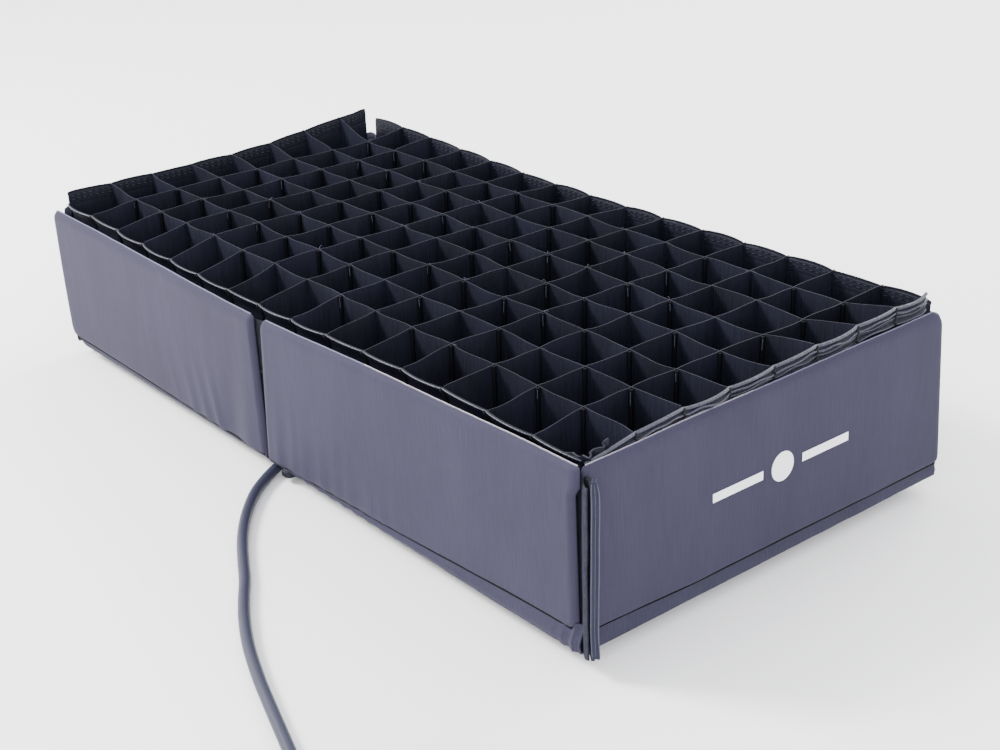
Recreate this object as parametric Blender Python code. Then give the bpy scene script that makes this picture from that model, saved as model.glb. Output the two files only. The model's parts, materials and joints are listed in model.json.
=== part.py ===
"""Strip softbox with an egg-crate grid, lying on its back with its flat light mat.

Metres, +Z up. The origin is on the surface that it lies on, under the middle of its outline.
+X runs along the box, +Y from the near long wall to the far one. The walls are an open chain
of six stiffened panels: left end, two near halves and, the other way round, two far halves and
the right end, closed at the near right corner by a hook-and-loop flange.
"""

import math

import bmesh
import bpy
from mathutils import Matrix, Vector

# Driving dimensions of the box
LENGTH = 0.639
WIDTH = 0.325
WALL_HEIGHT = 0.120
RIM_HEIGHT = 0.010  # underside of the walls above the surface
FOLD_X = -0.008  # where the long walls fold in two
FOLD_GAP = 0.008
FOLD_OUT = 0.0025  # fold axis outside the wall's face
CORNER = 0.006  # from the outside corner to the end of a panel
CORNER_RADIUS = 0.009  # rounding of a panel's top corners
BOARD = 0.0022
CLOTH = 0.0008
TOUCH = 0.0003  # gap that pieces touching each other keep
SLIP = 0.0008  # gap that pieces moving past each other keep

# Rim that wraps the bottom edge of each wall, with the lip that grips the mat
RIM_BAND = 0.0136
RIM_OUT = 0.0020
RIM_WEB = 0.0010
LIP_WIDTH = 0.020
LIP_RISE = 0.0016  # lip above the mat's front face
MITRE_GAP = 0.0010

# Light mat
MAT_GAP = 0.003  # all round, inside the rim
BACK_CLOTH = 0.0008
BACK_RISE = 0.0004  # mat's back above the underside of the rim
LED_MAT = 0.0030
TAPE = 0.0010
TAPE_WIDTH = 0.020

# Cross frame behind the mat
BAR_WIDTH = 0.022
BAR_THICK = 0.0025
HUB_RADIUS = 0.035
HUB_THICK = 0.0020
WASHER_RADIUS = 0.018
WASHER_THICK = 0.0010
BARREL_RADIUS = 0.0070
BARREL_HEAD_RADIUS = 0.0110
BARREL_HEAD = 0.0008
SOCKET_RADIUS = 0.0040
SOCKET_DEPTH = 0.0070
CAP_LENGTH = 0.030
CAP_SLACK = 0.0020  # between a cap and its pocket's hem
CAP_WIDTH = 0.025
CAP_GRIP = 0.020  # depth of the cap's slot
POCKET_CLOTH = 0.0010
POCKET_ALONG = 0.090
POCKET_ACROSS = 0.062
POCKET_HEM = 0.0016
POCKET_INSET = 0.018  # pockets inside the mat's edge
BAR_AIM = 0.010  # bars point this far inside the mat's corners

# Diffuser and grid
DIFFUSER_HEIGHT = 0.080  # above the underside of the walls
DIFFUSER_HEM = 0.014
HEM = 0.0020
GRID_DEPTH = 0.042
GRID_RISE = 0.0095  # grid's top above the walls
GRID_STRIP = 0.0010
CELLS_ALONG = 15
CELLS_ACROSS = 8
HEM_EXTRA = 0.0015  # hem's edges beyond the grid's strips

# Junction box and cord
BOX_SIZE = (0.052, 0.040, 0.0068)
LID_THICK = 0.0014
RELIEF_LENGTH = 0.022
RELIEF_BASE = 0.0048
CORD_DROP = 0.0002  # cord below the strain relief's axis as it comes out
CORD_RADIUS = 0.0039
TAB_SIZE = (0.012, 0.012, 0.0070)
TURNS_ACROSS = 3
TURNS_UP = 2
COIL_MID_RADIUS = 0.045
TIE_THICK = 0.0010
TIE_WIDTH = 0.016
TIE_BEARING = math.radians(60)  # of the tie, round the coil
LIFT_POINTS = 3  # route points over which the lead climbs to the coil
PLUG_RADIUS = 0.0090
PLUG_LENGTH = 0.044
RING_RADIUS = 0.0105
RING_LENGTH = 0.014
RING_CLEARANCE = 0.0004
PLUG_COLLAR = 0.0012  # plug's back end outside the cord
PLUG_TAPER = 0.010
PLUG_WAIST = 0.0070
PLUG_WALL = 0.0012
PLUG_BORE = 0.0090  # depth of the hole in the nose
PLUG_NOSE = 0.0060  # nose beyond the ring

# Places on the cord, from the middle of the near side
NEAR_SIDE = -WIDTH / 2
CORD_EXIT = (-0.0120, NEAR_SIDE + 0.0050)
CORD_HEADING = math.radians(-64)
COIL_CENTRE = (0.396, NEAR_SIDE - 0.1575)
PLUG_BACK = (0.4440, NEAR_SIDE - 0.2275)
PLUG_HEADING = math.radians(-14)
CORD_ROUTE = [
    (-0.012, 0.005), (-0.004, -0.010), (0.008, -0.026), (0.023, -0.041), (0.041, -0.056),
    (0.061, -0.070), (0.083, -0.083), (0.106, -0.096), (0.126, -0.109), (0.148, -0.122),
    (0.174, -0.135), (0.206, -0.148), (0.240, -0.160), (0.272, -0.171), (0.302, -0.182),
    (0.329, -0.193), (0.349, -0.200),
]  # fmt: skip
TAIL_ROUTE = [(0.4190, -0.2150), (0.4275, -0.2208), (0.4362, -0.2256), (0.4436, -0.2274)]

# Sizes that follow from those above
PANEL = BOARD + 2 * (CLOTH + TOUCH)
PIVOT = PANEL / 2
WALL_BASE = RIM_HEIGHT + RIM_WEB + TOUCH
WALL_TOP = RIM_HEIGHT + WALL_HEIGHT
MAT_BACK = RIM_HEIGHT + BACK_RISE
LED_BACK = MAT_BACK + BACK_CLOTH + TOUCH
MAT_FRONT = LED_BACK + LED_MAT
LIP_BASE = MAT_FRONT + LIP_RISE
RIM_INSIDE = PANEL + TOUCH + CLOTH
MAT_INSET = RIM_INSIDE + MAT_GAP
LOWER_BAR = HUB_THICK + TOUCH
UPPER_BAR = LOWER_BAR + BAR_THICK + TOUCH
WASHER_BASE = UPPER_BAR + BAR_THICK + TOUCH
CAP_BASE = POCKET_CLOTH + TOUCH
CAP_TOP = RIM_HEIGHT - TOUCH
GRID_TOP = WALL_TOP + GRID_RISE
DIAGONAL = math.atan2(WIDTH / 2 - MAT_INSET - BAR_AIM, LENGTH / 2 - MAT_INSET - BAR_AIM)
SEAM_X = LENGTH / 2 - MAT_INSET - POCKET_INSET - POCKET_HEM - CAP_SLACK
SEAM_Y = WIDTH / 2 - MAT_INSET - POCKET_INSET - POCKET_HEM - CAP_SLACK
BAR_REACH = min(  # hub to the end of a bar's cap, inside its pocket's seams
    (SEAM_X - CAP_WIDTH / 2 * math.sin(DIAGONAL)) / math.cos(DIAGONAL),
    (SEAM_Y - CAP_WIDTH / 2 * math.cos(DIAGONAL)) / math.sin(DIAGONAL),
)
COIL_BASE = TIE_THICK + TOUCH
PLUG_AXIS = RING_RADIUS  # the coupling ring lies on the surface
COIL_HALF_WIDTH = TURNS_ACROSS * CORD_RADIUS
COIL_HEIGHT = 2 * TURNS_UP * CORD_RADIUS

# Plan outlines of the two flanges at the open corner, from the outside corner
HOOK_FLANGE = [
    (TOUCH - CORNER, 0.0039), (TOUCH - CORNER, 0.0012), (-0.0010, -0.0008), (0.0060, -0.0053),
    (0.0084, -0.0029), (0.0034, 0.0009), (-0.0016, 0.0026),
]  # fmt: skip
LOOP_FLANGE = [
    (-0.0040, CORNER - TOUCH), (-0.0040, 0.0044), (-0.0010, 0.0034), (0.0042, 0.0014),
    (0.0092, -0.0021), (0.0124, 0.0011), (0.0065, 0.0044), (0.0018, CORNER - TOUCH),
]  # fmt: skip
FLANGE_BASE = RIM_HEIGHT - 0.0010
FLANGE_TOP = WALL_TOP - 0.0060

# The box is set off the origin so that the flange doesn't push the outline's middle aside
SHIFT_X = -(max(x for x, _ in LOOP_FLANGE) - RIM_OUT) / 2
SHIFT_Y = -(min(y for _, y in HOOK_FLANGE) + RIM_OUT) / 2

# Each side's turn about +Z from the near long wall, and its outer face's distance from the middle
SIDES = {
    "near": (0.0, WIDTH / 2),
    "right": (math.pi / 2, LENGTH / 2),
    "far": (math.pi, WIDTH / 2),
    "left": (-math.pi / 2, LENGTH / 2),
}

# Wall panels: side, where each starts and ends along it, and whether each end is at a corner
HALF_FOLD = FOLD_GAP / 2
WALLS = {
    "near_left": ("near", -LENGTH / 2 + CORNER, FOLD_X - HALF_FOLD, True, False),
    "near_right": ("near", FOLD_X + HALF_FOLD, LENGTH / 2 - CORNER, False, True),
    "far_right": ("far", -LENGTH / 2 + CORNER, -FOLD_X - HALF_FOLD, True, False),
    "far_left": ("far", -FOLD_X + HALF_FOLD, LENGTH / 2 - CORNER, False, True),
    "left_end": ("left", -WIDTH / 2 + CORNER, WIDTH / 2 - CORNER, True, True),
    "right_end": ("right", -WIDTH / 2 + CORNER, WIDTH / 2 - CORNER, True, True),
}

# Bodies: the one each hangs on, and a point on its joint's axis
LEFT_PIVOT = -LENGTH / 2 + PIVOT
SIDE_PIVOT = WIDTH / 2 - PIVOT
BODIES = {
    "mat": (None, (0, 0, 0)),
    "cross_bar": ("mat", (0, 0, LOWER_BAR)),
    "left_end": ("mat", (-LENGTH / 2, 0, RIM_HEIGHT)),
    "near_left": ("left_end", (LEFT_PIVOT, -SIDE_PIVOT, RIM_HEIGHT)),
    "near_right": ("near_left", (FOLD_X, -WIDTH / 2 - FOLD_OUT, RIM_HEIGHT)),
    "far_left": ("left_end", (LEFT_PIVOT, SIDE_PIVOT, RIM_HEIGHT)),
    "far_right": ("far_left", (FOLD_X, WIDTH / 2 + FOLD_OUT, RIM_HEIGHT)),
    "right_end": ("far_right", (-LEFT_PIVOT, SIDE_PIVOT, RIM_HEIGHT)),
    "diffuser": ("left_end", (0, 0, RIM_HEIGHT + DIFFUSER_HEIGHT)),
    "grid": ("diffuser", (0, 0, GRID_TOP)),
    "coupling_ring": ("mat", (*PLUG_BACK, RING_RADIUS)),
}
axes = {}


def clear_scene():
    for obj in list(bpy.data.objects):
        bpy.data.objects.remove(obj, do_unlink=True)


def new_collection(name):
    collection = bpy.data.collections.new(name)
    bpy.context.scene.collection.children.link(collection)
    return collection


def material(name, colour, roughness, metallic=0.0):
    made = bpy.data.materials.new(name)
    made.use_nodes = True
    shader = made.node_tree.nodes["Principled BSDF"]
    shader.inputs["Base Color"].default_value = (*colour, 1)
    shader.inputs["Roughness"].default_value = roughness
    shader.inputs["Metallic"].default_value = metallic
    return made


def make_axes():
    """An empty on each body's joint axis, parented as the bodies are."""
    for body, (parent, point) in BODIES.items():
        empty = bpy.data.objects.new("axis_" + body, None)
        parts.objects.link(empty)
        location = Vector(point)
        if parent:
            empty.parent = axes[parent][0]
            location -= axes[parent][1]
        else:
            location += Vector((SHIFT_X, SHIFT_Y, 0))
        empty.location = location
        empty.empty_display_size = 0.02
        axes[body] = (empty, Vector(point))


def place(name, shape, body, finish):
    """Makes an object from a bmesh in the box's coordinates, with its origin on its body's axis."""
    empty, point = axes[body]
    bmesh.ops.translate(shape, verts=shape.verts, vec=-point)
    bmesh.ops.recalc_face_normals(shape, faces=shape.faces)
    mesh = bpy.data.meshes.new(name)
    shape.to_mesh(mesh)
    shape.free()
    mesh.materials.append(finish)
    obj = bpy.data.objects.new(name, mesh)
    parts.objects.link(obj)
    obj.parent = empty
    return obj


def cut(obj, shape, body):
    """Cuts a bmesh in the box's coordinates from an object of the same body."""
    cutter = place(obj.name + "_cutter", shape, body, obj.data.materials[0])
    parts.objects.unlink(cutter)
    cutters.objects.link(cutter)
    cutter.hide_render = True
    cutter.display_type = "WIRE"
    boolean = obj.modifiers.new("cut", "BOOLEAN")
    boolean.operation = "DIFFERENCE"
    boolean.solver = "EXACT"
    boolean.object = cutter


def block(low, high, shape=None):
    """A box from its lowest to its highest corner, added to a bmesh."""
    shape = shape or bmesh.new()
    low, high = Vector(low), Vector(high)
    matrix = Matrix.Translation((low + high) / 2) @ Matrix.Diagonal((*(high - low), 1))
    bmesh.ops.create_cube(shape, size=1, matrix=matrix)
    return shape


def cylinder(radius, low, high, centre=(0, 0), top_radius=None, segments=40):
    shape = bmesh.new()
    matrix = Matrix.Translation((*centre, (low + high) / 2))
    top = radius if top_radius is None else top_radius
    bmesh.ops.create_cone(
        shape, cap_ends=True, segments=segments, radius1=radius, radius2=top,
        depth=high - low, matrix=matrix,
    )  # fmt: skip
    return shape


def extrude(outline, vector):
    """A flat outline of 3D points, filled and extruded by a vector."""
    shape = bmesh.new()
    face = shape.faces.new([shape.verts.new(point) for point in outline])
    grown = bmesh.ops.extrude_face_region(shape, geom=[face])
    moved = [item for item in grown["geom"] if isinstance(item, bmesh.types.BMVert)]
    bmesh.ops.translate(shape, verts=moved, vec=vector)
    return shape


def arc(centre, radius, start, end, steps):
    """Points of an arc in the plane, from one angle to another in degrees."""
    angles = [math.radians(start + (end - start) * i / steps) for i in range(steps + 1)]
    return [(centre[0] + radius * math.cos(a), centre[1] + radius * math.sin(a)) for a in angles]


def side_matrix(side):
    """From a side's own axes, along, inward and up, to the box's."""
    turn, distance = SIDES[side]
    return Matrix.Rotation(turn, 4, "Z") @ Matrix.Translation((0, -distance, 0))


def panel(wall, grow, base, top):
    """A wall panel with rounded top corners, grown or shrunk from its stiffening board."""
    side, start, end, _, _ = WALLS[wall]
    inset = CLOTH + TOUCH - grow
    left, right, high = start + inset, end - inset, top - inset
    radius = CORNER_RADIUS - inset
    outline = [(left, base), (right, base)]
    outline += arc((right - radius, high - radius), radius, 0, 90, 4)
    outline += arc((left + radius, high - radius), radius, 90, 180, 4)
    shape = extrude([(x, inset, z) for x, z in outline], (0, BOARD + 2 * grow, 0))
    shape.transform(side_matrix(side))
    return shape


def add_wall(wall):
    """A stiffening board, slid from below into its cloth cover."""
    place(wall + "_board", panel(wall, 0, WALL_BASE, WALL_TOP), wall, finishes["board"])
    cover = place(
        wall + "_cover", panel(wall, CLOTH + TOUCH, WALL_BASE, WALL_TOP), wall,
        finishes["cover"],
    )  # fmt: skip
    cut(cover, panel(wall, TOUCH, RIM_HEIGHT - TOUCH, WALL_TOP), wall)


def add_rim(wall):
    """The folded rim round a wall's bottom edge: outer band, web, inner leg and mat lip."""
    side, start, end, corner_first, corner_last = WALLS[wall]
    base, band = RIM_HEIGHT, RIM_HEIGHT + RIM_BAND
    leg, chamfer = PANEL + TOUCH, RIM_OUT - TOUCH * 2
    section = [
        (-RIM_OUT, base + chamfer), (-RIM_OUT + chamfer, base), (RIM_INSIDE, base),
        (RIM_INSIDE, LIP_BASE), (RIM_INSIDE + LIP_WIDTH, LIP_BASE),
        (RIM_INSIDE + LIP_WIDTH, LIP_BASE + CLOTH), (leg, LIP_BASE + CLOTH),
        (leg, base + RIM_WEB), (-TOUCH, base + RIM_WEB), (-TOUCH, band),
        (-RIM_OUT + chamfer, band), (-RIM_OUT, band - chamfer),
    ]  # fmt: skip
    shape = extrude([(start, y, z) for y, z in section], (end - start, 0, 0))
    middle = (start + end) / 2
    for vert in shape.verts:
        mitre = max(0.0, vert.co.y + MITRE_GAP - CORNER)
        if vert.co.x < middle and corner_first:
            vert.co.x += mitre
        elif vert.co.x > middle and corner_last:
            vert.co.x -= mitre
    shape.transform(side_matrix(side))
    place(wall + "_rim", shape, wall, finishes["rim"])


def add_gusset(name, body, centre, radius, start, end):
    """A folded cloth strip between two panels, an arc in plan round its centre."""
    outline = arc(centre, radius, start, end, 10) + arc(centre, radius - CLOTH, end, start, 10)
    low, high = WALL_BASE + TOUCH, WALL_TOP - CORNER
    shape = extrude([(x, y, low) for x, y in outline], (0, 0, high - low))
    place(name, shape, body, finishes["gusset"])


def add_gussets():
    corner_radius = CORNER - PIVOT - TOUCH
    left, side = LEFT_PIVOT, SIDE_PIVOT
    add_gusset("left_near_gusset", "left_end", (left, -side), corner_radius, 105, 345)
    add_gusset("left_far_gusset", "left_end", (left, side), corner_radius, 15, 255)
    add_gusset("right_far_gusset", "far_right", (-left, side), corner_radius, -75, 165)
    fold_radius = HALF_FOLD - TOUCH
    near, far = (FOLD_X, -WIDTH / 2 + TOUCH), (FOLD_X, WIDTH / 2 - TOUCH)
    add_gusset("near_fold_gusset", "near_left", near, fold_radius, 0, 180)
    add_gusset("far_fold_gusset", "far_left", far, fold_radius, 180, 360)


def add_flanges():
    """The two hook-and-loop flanges that close the chain of walls at its open corner."""
    height = (0, 0, FLANGE_TOP - FLANGE_BASE)
    for name, body, plan, finish in (
        ("hook_flange", "near_right", HOOK_FLANGE, "hook"),
        ("loop_flange", "right_end", LOOP_FLANGE, "binding"),
    ):
        outline = [(LENGTH / 2 + x, -WIDTH / 2 + y, FLANGE_BASE) for x, y in plan]
        place(name, extrude(outline, height), body, finishes[finish])


def frame_ring(half_x, half_y, width, low, high):
    """A rectangular ring's outer block and the block that is cut from it."""
    outer = block((-half_x, -half_y, low), (half_x, half_y, high))
    inner_x, inner_y = half_x - width, half_y - width
    inner = block((-inner_x, -inner_y, low - SLIP), (inner_x, inner_y, high + SLIP))
    return outer, inner


def add_mat():
    half_x, half_y = LENGTH / 2 - MAT_INSET, WIDTH / 2 - MAT_INSET
    for name, low, thick, finish in (
        ("mat_back_cloth", MAT_BACK, BACK_CLOTH, "back_cloth"),
        ("led_mat", LED_BACK, LED_MAT, "led"),
    ):
        shape = block((-half_x, -half_y, low), (half_x, half_y, low + thick))
        upright = [e for e in shape.edges if abs(e.verts[0].co.z - e.verts[1].co.z) > thick / 2]
        bmesh.ops.bevel(shape, geom=upright, offset=CORNER, segments=4, affect="EDGES")
        place(name, shape, "mat", finishes[finish])
    low = MAT_FRONT + TOUCH
    outer, inner = frame_ring(half_x - SLIP, half_y - SLIP, TAPE_WIDTH, low, low + TAPE)
    tape = place("mat_hook_border", outer, "mat", finishes["hook"])
    cut(tape, inner, "mat")


def add_bar(name, body, base, angle):
    """A flat bar through the hub, at an angle to the box's length."""
    half = BAR_REACH - CAP_LENGTH + CAP_GRIP - TOUCH
    shape = block((-half, -BAR_WIDTH / 2, base), (half, BAR_WIDTH / 2, base + BAR_THICK))
    shape.transform(Matrix.Rotation(angle, 4, "Z"))
    bar = place(name, shape, body, finishes["bar"])
    cut(bar, cylinder(BARREL_RADIUS + TOUCH, base - SLIP, base + BAR_THICK + SLIP), body)


def add_cap(name, body, base, angle):
    """A rubber cap on one end of a bar, with the slot that holds the bar."""
    inner, outer = BAR_REACH - CAP_LENGTH, BAR_REACH
    half = CAP_WIDTH / 2
    shape = block((inner, -half, CAP_BASE), (outer, half, CAP_TOP))
    ends = [e for e in shape.edges if all(v.co.x > outer - SLIP for v in e.verts)]
    upright = [e for e in ends if abs(e.verts[0].co.z - e.verts[1].co.z) > SLIP]
    bmesh.ops.bevel(shape, geom=upright, offset=CORNER, segments=4, affect="EDGES")
    turn = Matrix.Rotation(angle, 4, "Z")
    shape.transform(turn)
    cap = place(name, shape, body, finishes["rubber"])
    slot = BAR_WIDTH / 2 + TOUCH
    socket = block(
        (inner - SLIP, -slot, base - TOUCH), (inner + CAP_GRIP, slot, base + BAR_THICK + TOUCH)
    )
    socket.transform(turn)
    cut(cap, socket, body)


def add_pocket(name, sign_x, sign_y, closed_end):
    """A cloth corner pocket: a flap under the cap, hemmed to the mat along one or two edges."""
    corner_x = LENGTH / 2 - MAT_INSET - POCKET_INSET
    corner_y = WIDTH / 2 - MAT_INSET - POCKET_INSET
    flap = [
        (corner_x, corner_y), (corner_x - POCKET_ALONG, corner_y),
        (corner_x - POCKET_ALONG, corner_y - POCKET_HEM), (corner_x, corner_y - POCKET_ACROSS),
    ]  # fmt: skip
    high = MAT_BACK - TOUCH
    shape = extrude([(x, y, 0) for x, y in flap], (0, 0, POCKET_CLOTH))
    shape.transform(Matrix.Diagonal((sign_x, sign_y, 1, 1)))
    pocket = place(name, shape, "mat", finishes["pocket"])
    hem = block((corner_x - POCKET_ALONG, corner_y - POCKET_HEM, 0), (corner_x, corner_y, high))
    if closed_end:
        block((corner_x - POCKET_HEM, corner_y - POCKET_ACROSS, 0), (corner_x, corner_y, high), hem)
    hem.transform(Matrix.Diagonal((sign_x, sign_y, 1, 1)))
    join(pocket, hem)


def join(obj, shape):
    """Joins a bmesh of overlapping blocks in the box's coordinates to an object of the mat."""
    tool = place(obj.name + "_joined", shape, "mat", obj.data.materials[0])
    parts.objects.unlink(tool)
    cutters.objects.link(tool)
    tool.hide_render = True
    tool.display_type = "WIRE"
    boolean = obj.modifiers.new("join", "BOOLEAN")
    boolean.operation = "UNION"
    boolean.solver = "EXACT"
    boolean.use_self = True
    boolean.object = tool


def add_cross_frame():
    """Two flat bars scissored on a hub, with a threaded barrel for a stand adapter."""
    add_bar("fixed_bar", "mat", UPPER_BAR, DIAGONAL)
    add_bar("swing_bar", "cross_bar", LOWER_BAR, -DIAGONAL)
    for name, body, base, angle in (
        ("cap_right_far", "mat", UPPER_BAR, DIAGONAL),
        ("cap_left_near", "mat", UPPER_BAR, DIAGONAL + math.pi),
        ("cap_right_near", "cross_bar", LOWER_BAR, -DIAGONAL),
        ("cap_left_far", "cross_bar", LOWER_BAR, math.pi - DIAGONAL),
    ):
        add_cap(name, body, base, angle)
    add_pocket("pocket_right_far", 1, 1, True)
    add_pocket("pocket_left_near", -1, -1, True)
    add_pocket("pocket_right_near", 1, -1, False)
    add_pocket("pocket_left_far", -1, 1, False)


def add_hub():
    for name, radius, low, thick in (
        ("hub_plate", HUB_RADIUS, 0, HUB_THICK),
        ("hub_washer", WASHER_RADIUS, WASHER_BASE, WASHER_THICK),
    ):
        disc = place(name, cylinder(radius, low, low + thick), "mat", finishes["metal"])
        hole = cylinder(BARREL_RADIUS + TOUCH, low - SLIP, low + thick + SLIP)
        cut(disc, hole, "mat")
    head = WASHER_BASE + WASHER_THICK + TOUCH
    profile = [
        (SOCKET_RADIUS, TOUCH), (BARREL_RADIUS, TOUCH), (BARREL_RADIUS, head),
        (BARREL_HEAD_RADIUS, head), (BARREL_HEAD_RADIUS, head + BARREL_HEAD),
        (0, head + BARREL_HEAD), (0, SOCKET_DEPTH), (SOCKET_RADIUS, SOCKET_DEPTH),
    ]  # fmt: skip
    place("hub_barrel", turned(profile, 40), "mat", finishes["metal"])


def turned(profile, segments):
    """A solid turned about +Z from a closed outline of radius and height."""
    shape = bmesh.new()
    verts = [shape.verts.new((radius, 0, height)) for radius, height in profile]
    edges = [shape.edges.new(pair) for pair in zip(verts, verts[1:] + verts[:1])]
    if profile[0][0] == 0 or profile[-1][0] == 0:
        edges.pop()
    bmesh.ops.spin(
        shape, geom=verts + edges, cent=(0, 0, 0), axis=(0, 0, 1), angle=2 * math.pi,
        steps=segments, use_merge=True,
    )  # fmt: skip
    bmesh.ops.remove_doubles(shape, verts=shape.verts, dist=1e-6)
    return shape


def add_diffuser():
    half_x, half_y = LENGTH / 2 - PANEL - SLIP * 2, WIDTH / 2 - PANEL - SLIP * 2
    base = RIM_HEIGHT + DIFFUSER_HEIGHT
    outer, inner = frame_ring(half_x, half_y, HEM, base - DIFFUSER_HEM, base)
    hem = place("diffuser_hem", outer, "diffuser", finishes["hem"])
    cut(hem, inner, "diffuser")
    edge_x, edge_y = half_x - HEM - TOUCH, half_y - HEM - TOUCH
    cloth = block((-edge_x, -edge_y, base - CLOTH), (edge_x, edge_y, base))
    place("diffuser_cloth", cloth, "diffuser", finishes["diffuser"])


def add_grid():
    """The egg crate, cut from one block by its cells, and the four hem bands round it."""
    half_x, half_y = LENGTH / 2 - PANEL - SLIP * 2, WIDTH / 2 - PANEL - SLIP * 2
    grid_x, grid_y = half_x - HEM - TOUCH, half_y - HEM - TOUCH
    low = GRID_TOP - GRID_DEPTH
    lattice = place(
        "grid_lattice", block((-grid_x, -grid_y, low), (grid_x, grid_y, GRID_TOP)), "grid",
        finishes["grid"],
    )  # fmt: skip
    pitch_x = (2 * grid_x - GRID_STRIP) / CELLS_ALONG
    pitch_y = (2 * grid_y - GRID_STRIP) / CELLS_ACROSS
    cells = bmesh.new()
    for i in range(CELLS_ALONG):
        for j in range(CELLS_ACROSS):
            x, y = -grid_x + GRID_STRIP + i * pitch_x, -grid_y + GRID_STRIP + j * pitch_y
            high_corner = (x + pitch_x - GRID_STRIP, y + pitch_y - GRID_STRIP, GRID_TOP + SLIP)
            block((x, y, low - SLIP), high_corner, cells)
    cut(lattice, cells, "grid")
    hem_low, hem_high = low - HEM_EXTRA, GRID_TOP + HEM_EXTRA
    for name, low_corner, high_corner in (
        ("grid_hem_near", (-half_x, -half_y), (half_x, -half_y + HEM)),
        ("grid_hem_far", (-half_x, half_y - HEM), (half_x, half_y)),
        ("grid_hem_left", (-half_x, -grid_y), (-half_x + HEM, grid_y)),
        ("grid_hem_right", (half_x - HEM, -grid_y), (half_x, grid_y)),
    ):
        shape = block((*low_corner, hem_low), (*high_corner, hem_high))
        place(name, shape, "grid", finishes["hem"])


def along_cord(distance):
    """A point on the straight line through the cord's exit, this far beyond it."""
    x, y = CORD_EXIT
    return (
        x + distance * math.cos(CORD_HEADING),
        y + distance * math.sin(CORD_HEADING),
    )


def add_junction_box():
    """The flat box under the mat that the cord comes out of, and the tab beside the cord."""
    width, depth, height = BOX_SIZE
    base = RIM_HEIGHT - TOUCH - LID_THICK - TOUCH - height
    face = -RELIEF_LENGTH - TOUCH
    for name, low, high in (
        ("junction_box", base, base + height),
        ("junction_lid", base + height + TOUCH, base + height + TOUCH + LID_THICK),
    ):
        shape = block((face - depth, -width / 2, low), (face, width / 2, high))
        upright = [e for e in shape.edges if abs(e.verts[0].co.z - e.verts[1].co.z) > SLIP]
        bmesh.ops.bevel(shape, geom=upright, offset=CORNER, segments=4, affect="EDGES")
        shape.transform(Matrix.Translation((*CORD_EXIT, 0)) @ Matrix.Rotation(CORD_HEADING, 4, "Z"))
        place(name, shape, "mat", finishes["plastic"])
    relief = cylinder(RELIEF_BASE, -RELIEF_LENGTH, -TOUCH, top_radius=CORD_RADIUS, segments=24)
    relief.transform(
        Matrix.Translation((*CORD_EXIT, RELIEF_BASE))
        @ Matrix.Rotation(CORD_HEADING, 4, "Z")
        @ Matrix.Rotation(math.pi / 2, 4, "Y")
    )
    place("strain_relief", relief, "mat", finishes["rubber"])
    tab = block((0, 0, 0), TAB_SIZE)
    bmesh.ops.bevel(tab, geom=list(tab.edges), offset=RIM_OUT, segments=3, affect="EDGES")
    tab_x = CORD_EXIT[0] + CORD_RADIUS + TAB_SIZE[0] / 2
    tab_y = -WIDTH / 2 - RIM_OUT
    tab.transform(Matrix.Translation((tab_x, tab_y, RIM_HEIGHT - TOUCH - TAB_SIZE[2])))
    place("edge_tab", tab, "mat", finishes["rubber"])


def smooth_route(points, spacing):
    """Evenly spaced points on a Catmull-Rom curve through the route's own points."""
    points = [Vector(point) for point in points]
    ends = [points[0] * 2 - points[1], *points, points[-1] * 2 - points[-2]]
    fine = []
    for a, b, c, d in zip(ends, ends[1:], ends[2:], ends[3:]):
        for step in range(20):
            t = step / 20
            curve = b * 2 + (c - a) * t + (a * 2 - b * 5 + c * 4 - d) * t**2
            fine.append((curve + (b * 3 - a - c * 3 + d) * t**3) / 2)
    fine.append(points[-1])
    lengths = [(q - p).length for p, q in zip(fine, fine[1:])]
    count = max(2, round(sum(lengths) / spacing))
    kept, walked, gap = [fine[0]], 0.0, sum(lengths) / count
    for point, length in zip(fine[1:], lengths):
        walked += length
        if walked >= gap * len(kept) and len(kept) < count:
            kept.append(point)
    return kept + [fine[-1]]


def add_tube(name, points, radius):
    """A round cord through the points, as a poly curve with filled caps."""
    curve = bpy.data.curves.new(name, "CURVE")
    curve.dimensions = "3D"
    curve.bevel_depth = radius
    curve.bevel_resolution = 3
    curve.use_fill_caps = True
    spline = curve.splines.new("POLY")
    spline.points.add(len(points) - 1)
    for target, point in zip(spline.points, points):
        target.co = (*point, 1)
    curve.materials.append(finishes["cord"])
    obj = bpy.data.objects.new(name, curve)
    parts.objects.link(obj)
    obj.parent = axes["mat"][0]


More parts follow.
